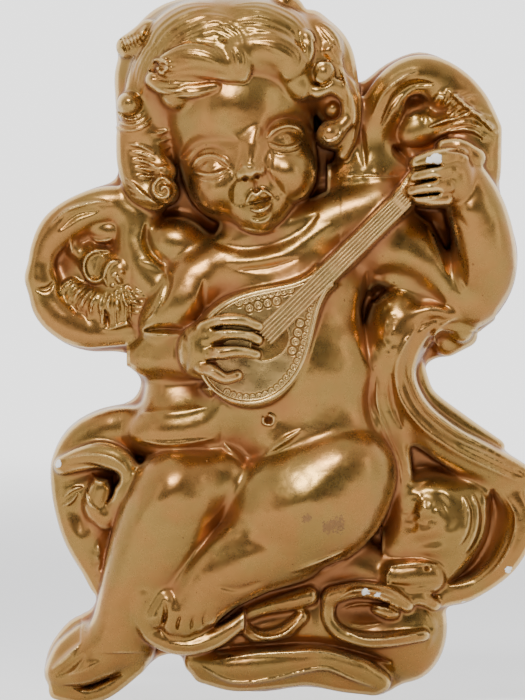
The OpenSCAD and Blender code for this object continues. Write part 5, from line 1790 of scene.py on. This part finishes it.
class PUTTO_OT_hanger(PuttoOperator, Operator):
    """The strap, its ring and its screws, in the recess at the back"""
    bl_idname = "putto.hanger"
    bl_label = "Hanger"

    def execute(self, context):
        steel = steel_material()
        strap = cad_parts["hanger_strap"]
        strap.data.materials.clear()
        strap.data.materials.append(steel)
        finish_piece(make_screws(steel), "root", "plated_steel", (), "hanger_screws")
        finish_piece(make_hanging_ring(steel), "ring", "plated_steel", (), "hanger_ring")
        return {"FINISHED"}


# The stage, in metres.
FLOOR_REACH = 6.0
FLOOR_GAP = 0.0005    # keeps the floor clear of the figure's lowest point
SENSOR_HALF = 18.0    # millimetres
VIEW_HALF = 0.1505    # half the height that the camera sees at the figure
AIM = (-0.008, -0.025, 0.0003)

# The surroundings are dim in front of the figure and bright behind it.
WORLD_RAMP = {"From Min": -0.9, "From Max": 0.5, "To Min": 0.07, "To Max": 2.35}


class PUTTO_OT_stage(PuttoOperator, Operator):
    """The floor, the pale surroundings, the soft lights and the camera"""
    bl_idname = "putto.stage"
    bl_label = "Stage"

    def execute(self, context):
        settings = context.scene.putto_stage
        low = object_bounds()[0]
        reach, down = FLOOR_REACH, low.z - FLOOR_GAP
        corners = [(-reach, -reach, down), (reach, -reach, down), (reach, reach, down), (-reach, reach, down)]
        floor = add_mesh("floor", corners, [np.array([[0, 1, 2, 3]])])
        cover = Paint("floor", Roughness=0.8)
        cover.use(Alpha=1.0 - cover.near([((0, 0, low.z), reach)]).step(0.12, 0.95))
        cover.shader.inputs["Base Color"].default_value = (*settings.floor, 1)
        floor.data.materials.append(cover.material)
        floor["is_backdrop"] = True
        world = bpy.data.worlds.new("surroundings")
        world.use_nodes = True
        nodes, links = world.node_tree.nodes, world.node_tree.links
        direction = nodes.new("ShaderNodeTexCoord")
        split = nodes.new("ShaderNodeSeparateXYZ")
        ramp = nodes.new("ShaderNodeMapRange")
        for label, value in WORLD_RAMP.items():
            ramp.inputs[label].default_value = value
        links.new(direction.outputs["Generated"], split.inputs[0])
        links.new(split.outputs["Y"], ramp.inputs["Value"])
        links.new(ramp.outputs["Result"], nodes["Background"].inputs["Color"])
        context.scene.world = world
        for name, place, size, power in (("key", (-0.20, -0.92, 0.78), (0.36, 0.26), settings.key),
                                         ("fill", (0.85, -0.55, 0.25), (0.3, 0.7), settings.fill),
                                         ("low", (-0.75, -0.60, 0.10), (0.3, 0.8), settings.fill * 0.7)):
            data = bpy.data.lights.new(name, "AREA")
            data.shape = "RECTANGLE"
            data.size, data.size_y = size
            data.energy = power
            lamp = bpy.data.objects.new(name, data)
            lamp.location = place
            lamp.rotation_euler = (-Vector(place)).to_track_quat("-Z", "Y").to_euler()
            context.scene.collection.objects.link(lamp)
        camera = bpy.data.cameras.new("camera")
        camera.lens = SENSOR_HALF * settings.distance / VIEW_HALF
        obj = bpy.data.objects.new("camera", camera)
        obj.location = (AIM[0], AIM[1] - settings.distance, AIM[2])
        obj.rotation_euler = (math.pi / 2, 0, 0)
        context.scene.collection.objects.link(obj)
        context.scene.camera = obj
        return {"FINISHED"}


OPERATORS = (PUTTO_OT_figure, PUTTO_OT_soundboard, PUTTO_OT_fingerboard, PUTTO_OT_binding, PUTTO_OT_inlay,
             PUTTO_OT_strings, PUTTO_OT_hanger, PUTTO_OT_stage)


class PUTTO_PT_panel(Panel):
    bl_idname = "PUTTO_PT_panel"
    bl_label = "Gilded putto"
    bl_space_type = "VIEW_3D"
    bl_region_type = "UI"
    bl_category = "Putto"

    def draw(self, context):
        for name, group in SETTINGS.items():
            box = self.layout.box()
            for label in group.__annotations__:
                box.prop(getattr(context.scene, name), label)
        for operator in OPERATORS:
            self.layout.operator(operator.bl_idname)


CLASSES = tuple(SETTINGS.values()) + OPERATORS + (PUTTO_PT_panel,)


def register():
    for cls in CLASSES:
        bpy.utils.register_class(cls)
    for name, group in SETTINGS.items():
        setattr(bpy.types.Scene, name, PointerProperty(type=group))


def unregister():
    for name in SETTINGS:
        delattr(bpy.types.Scene, name)
    for cls in reversed(CLASSES):
        bpy.utils.unregister_class(cls)


def main():
    register()
    for operator in OPERATORS:
        group, name = operator.bl_idname.split(".")
        getattr(getattr(bpy.ops, group), name)()


if __name__ == "__main__":
    main()
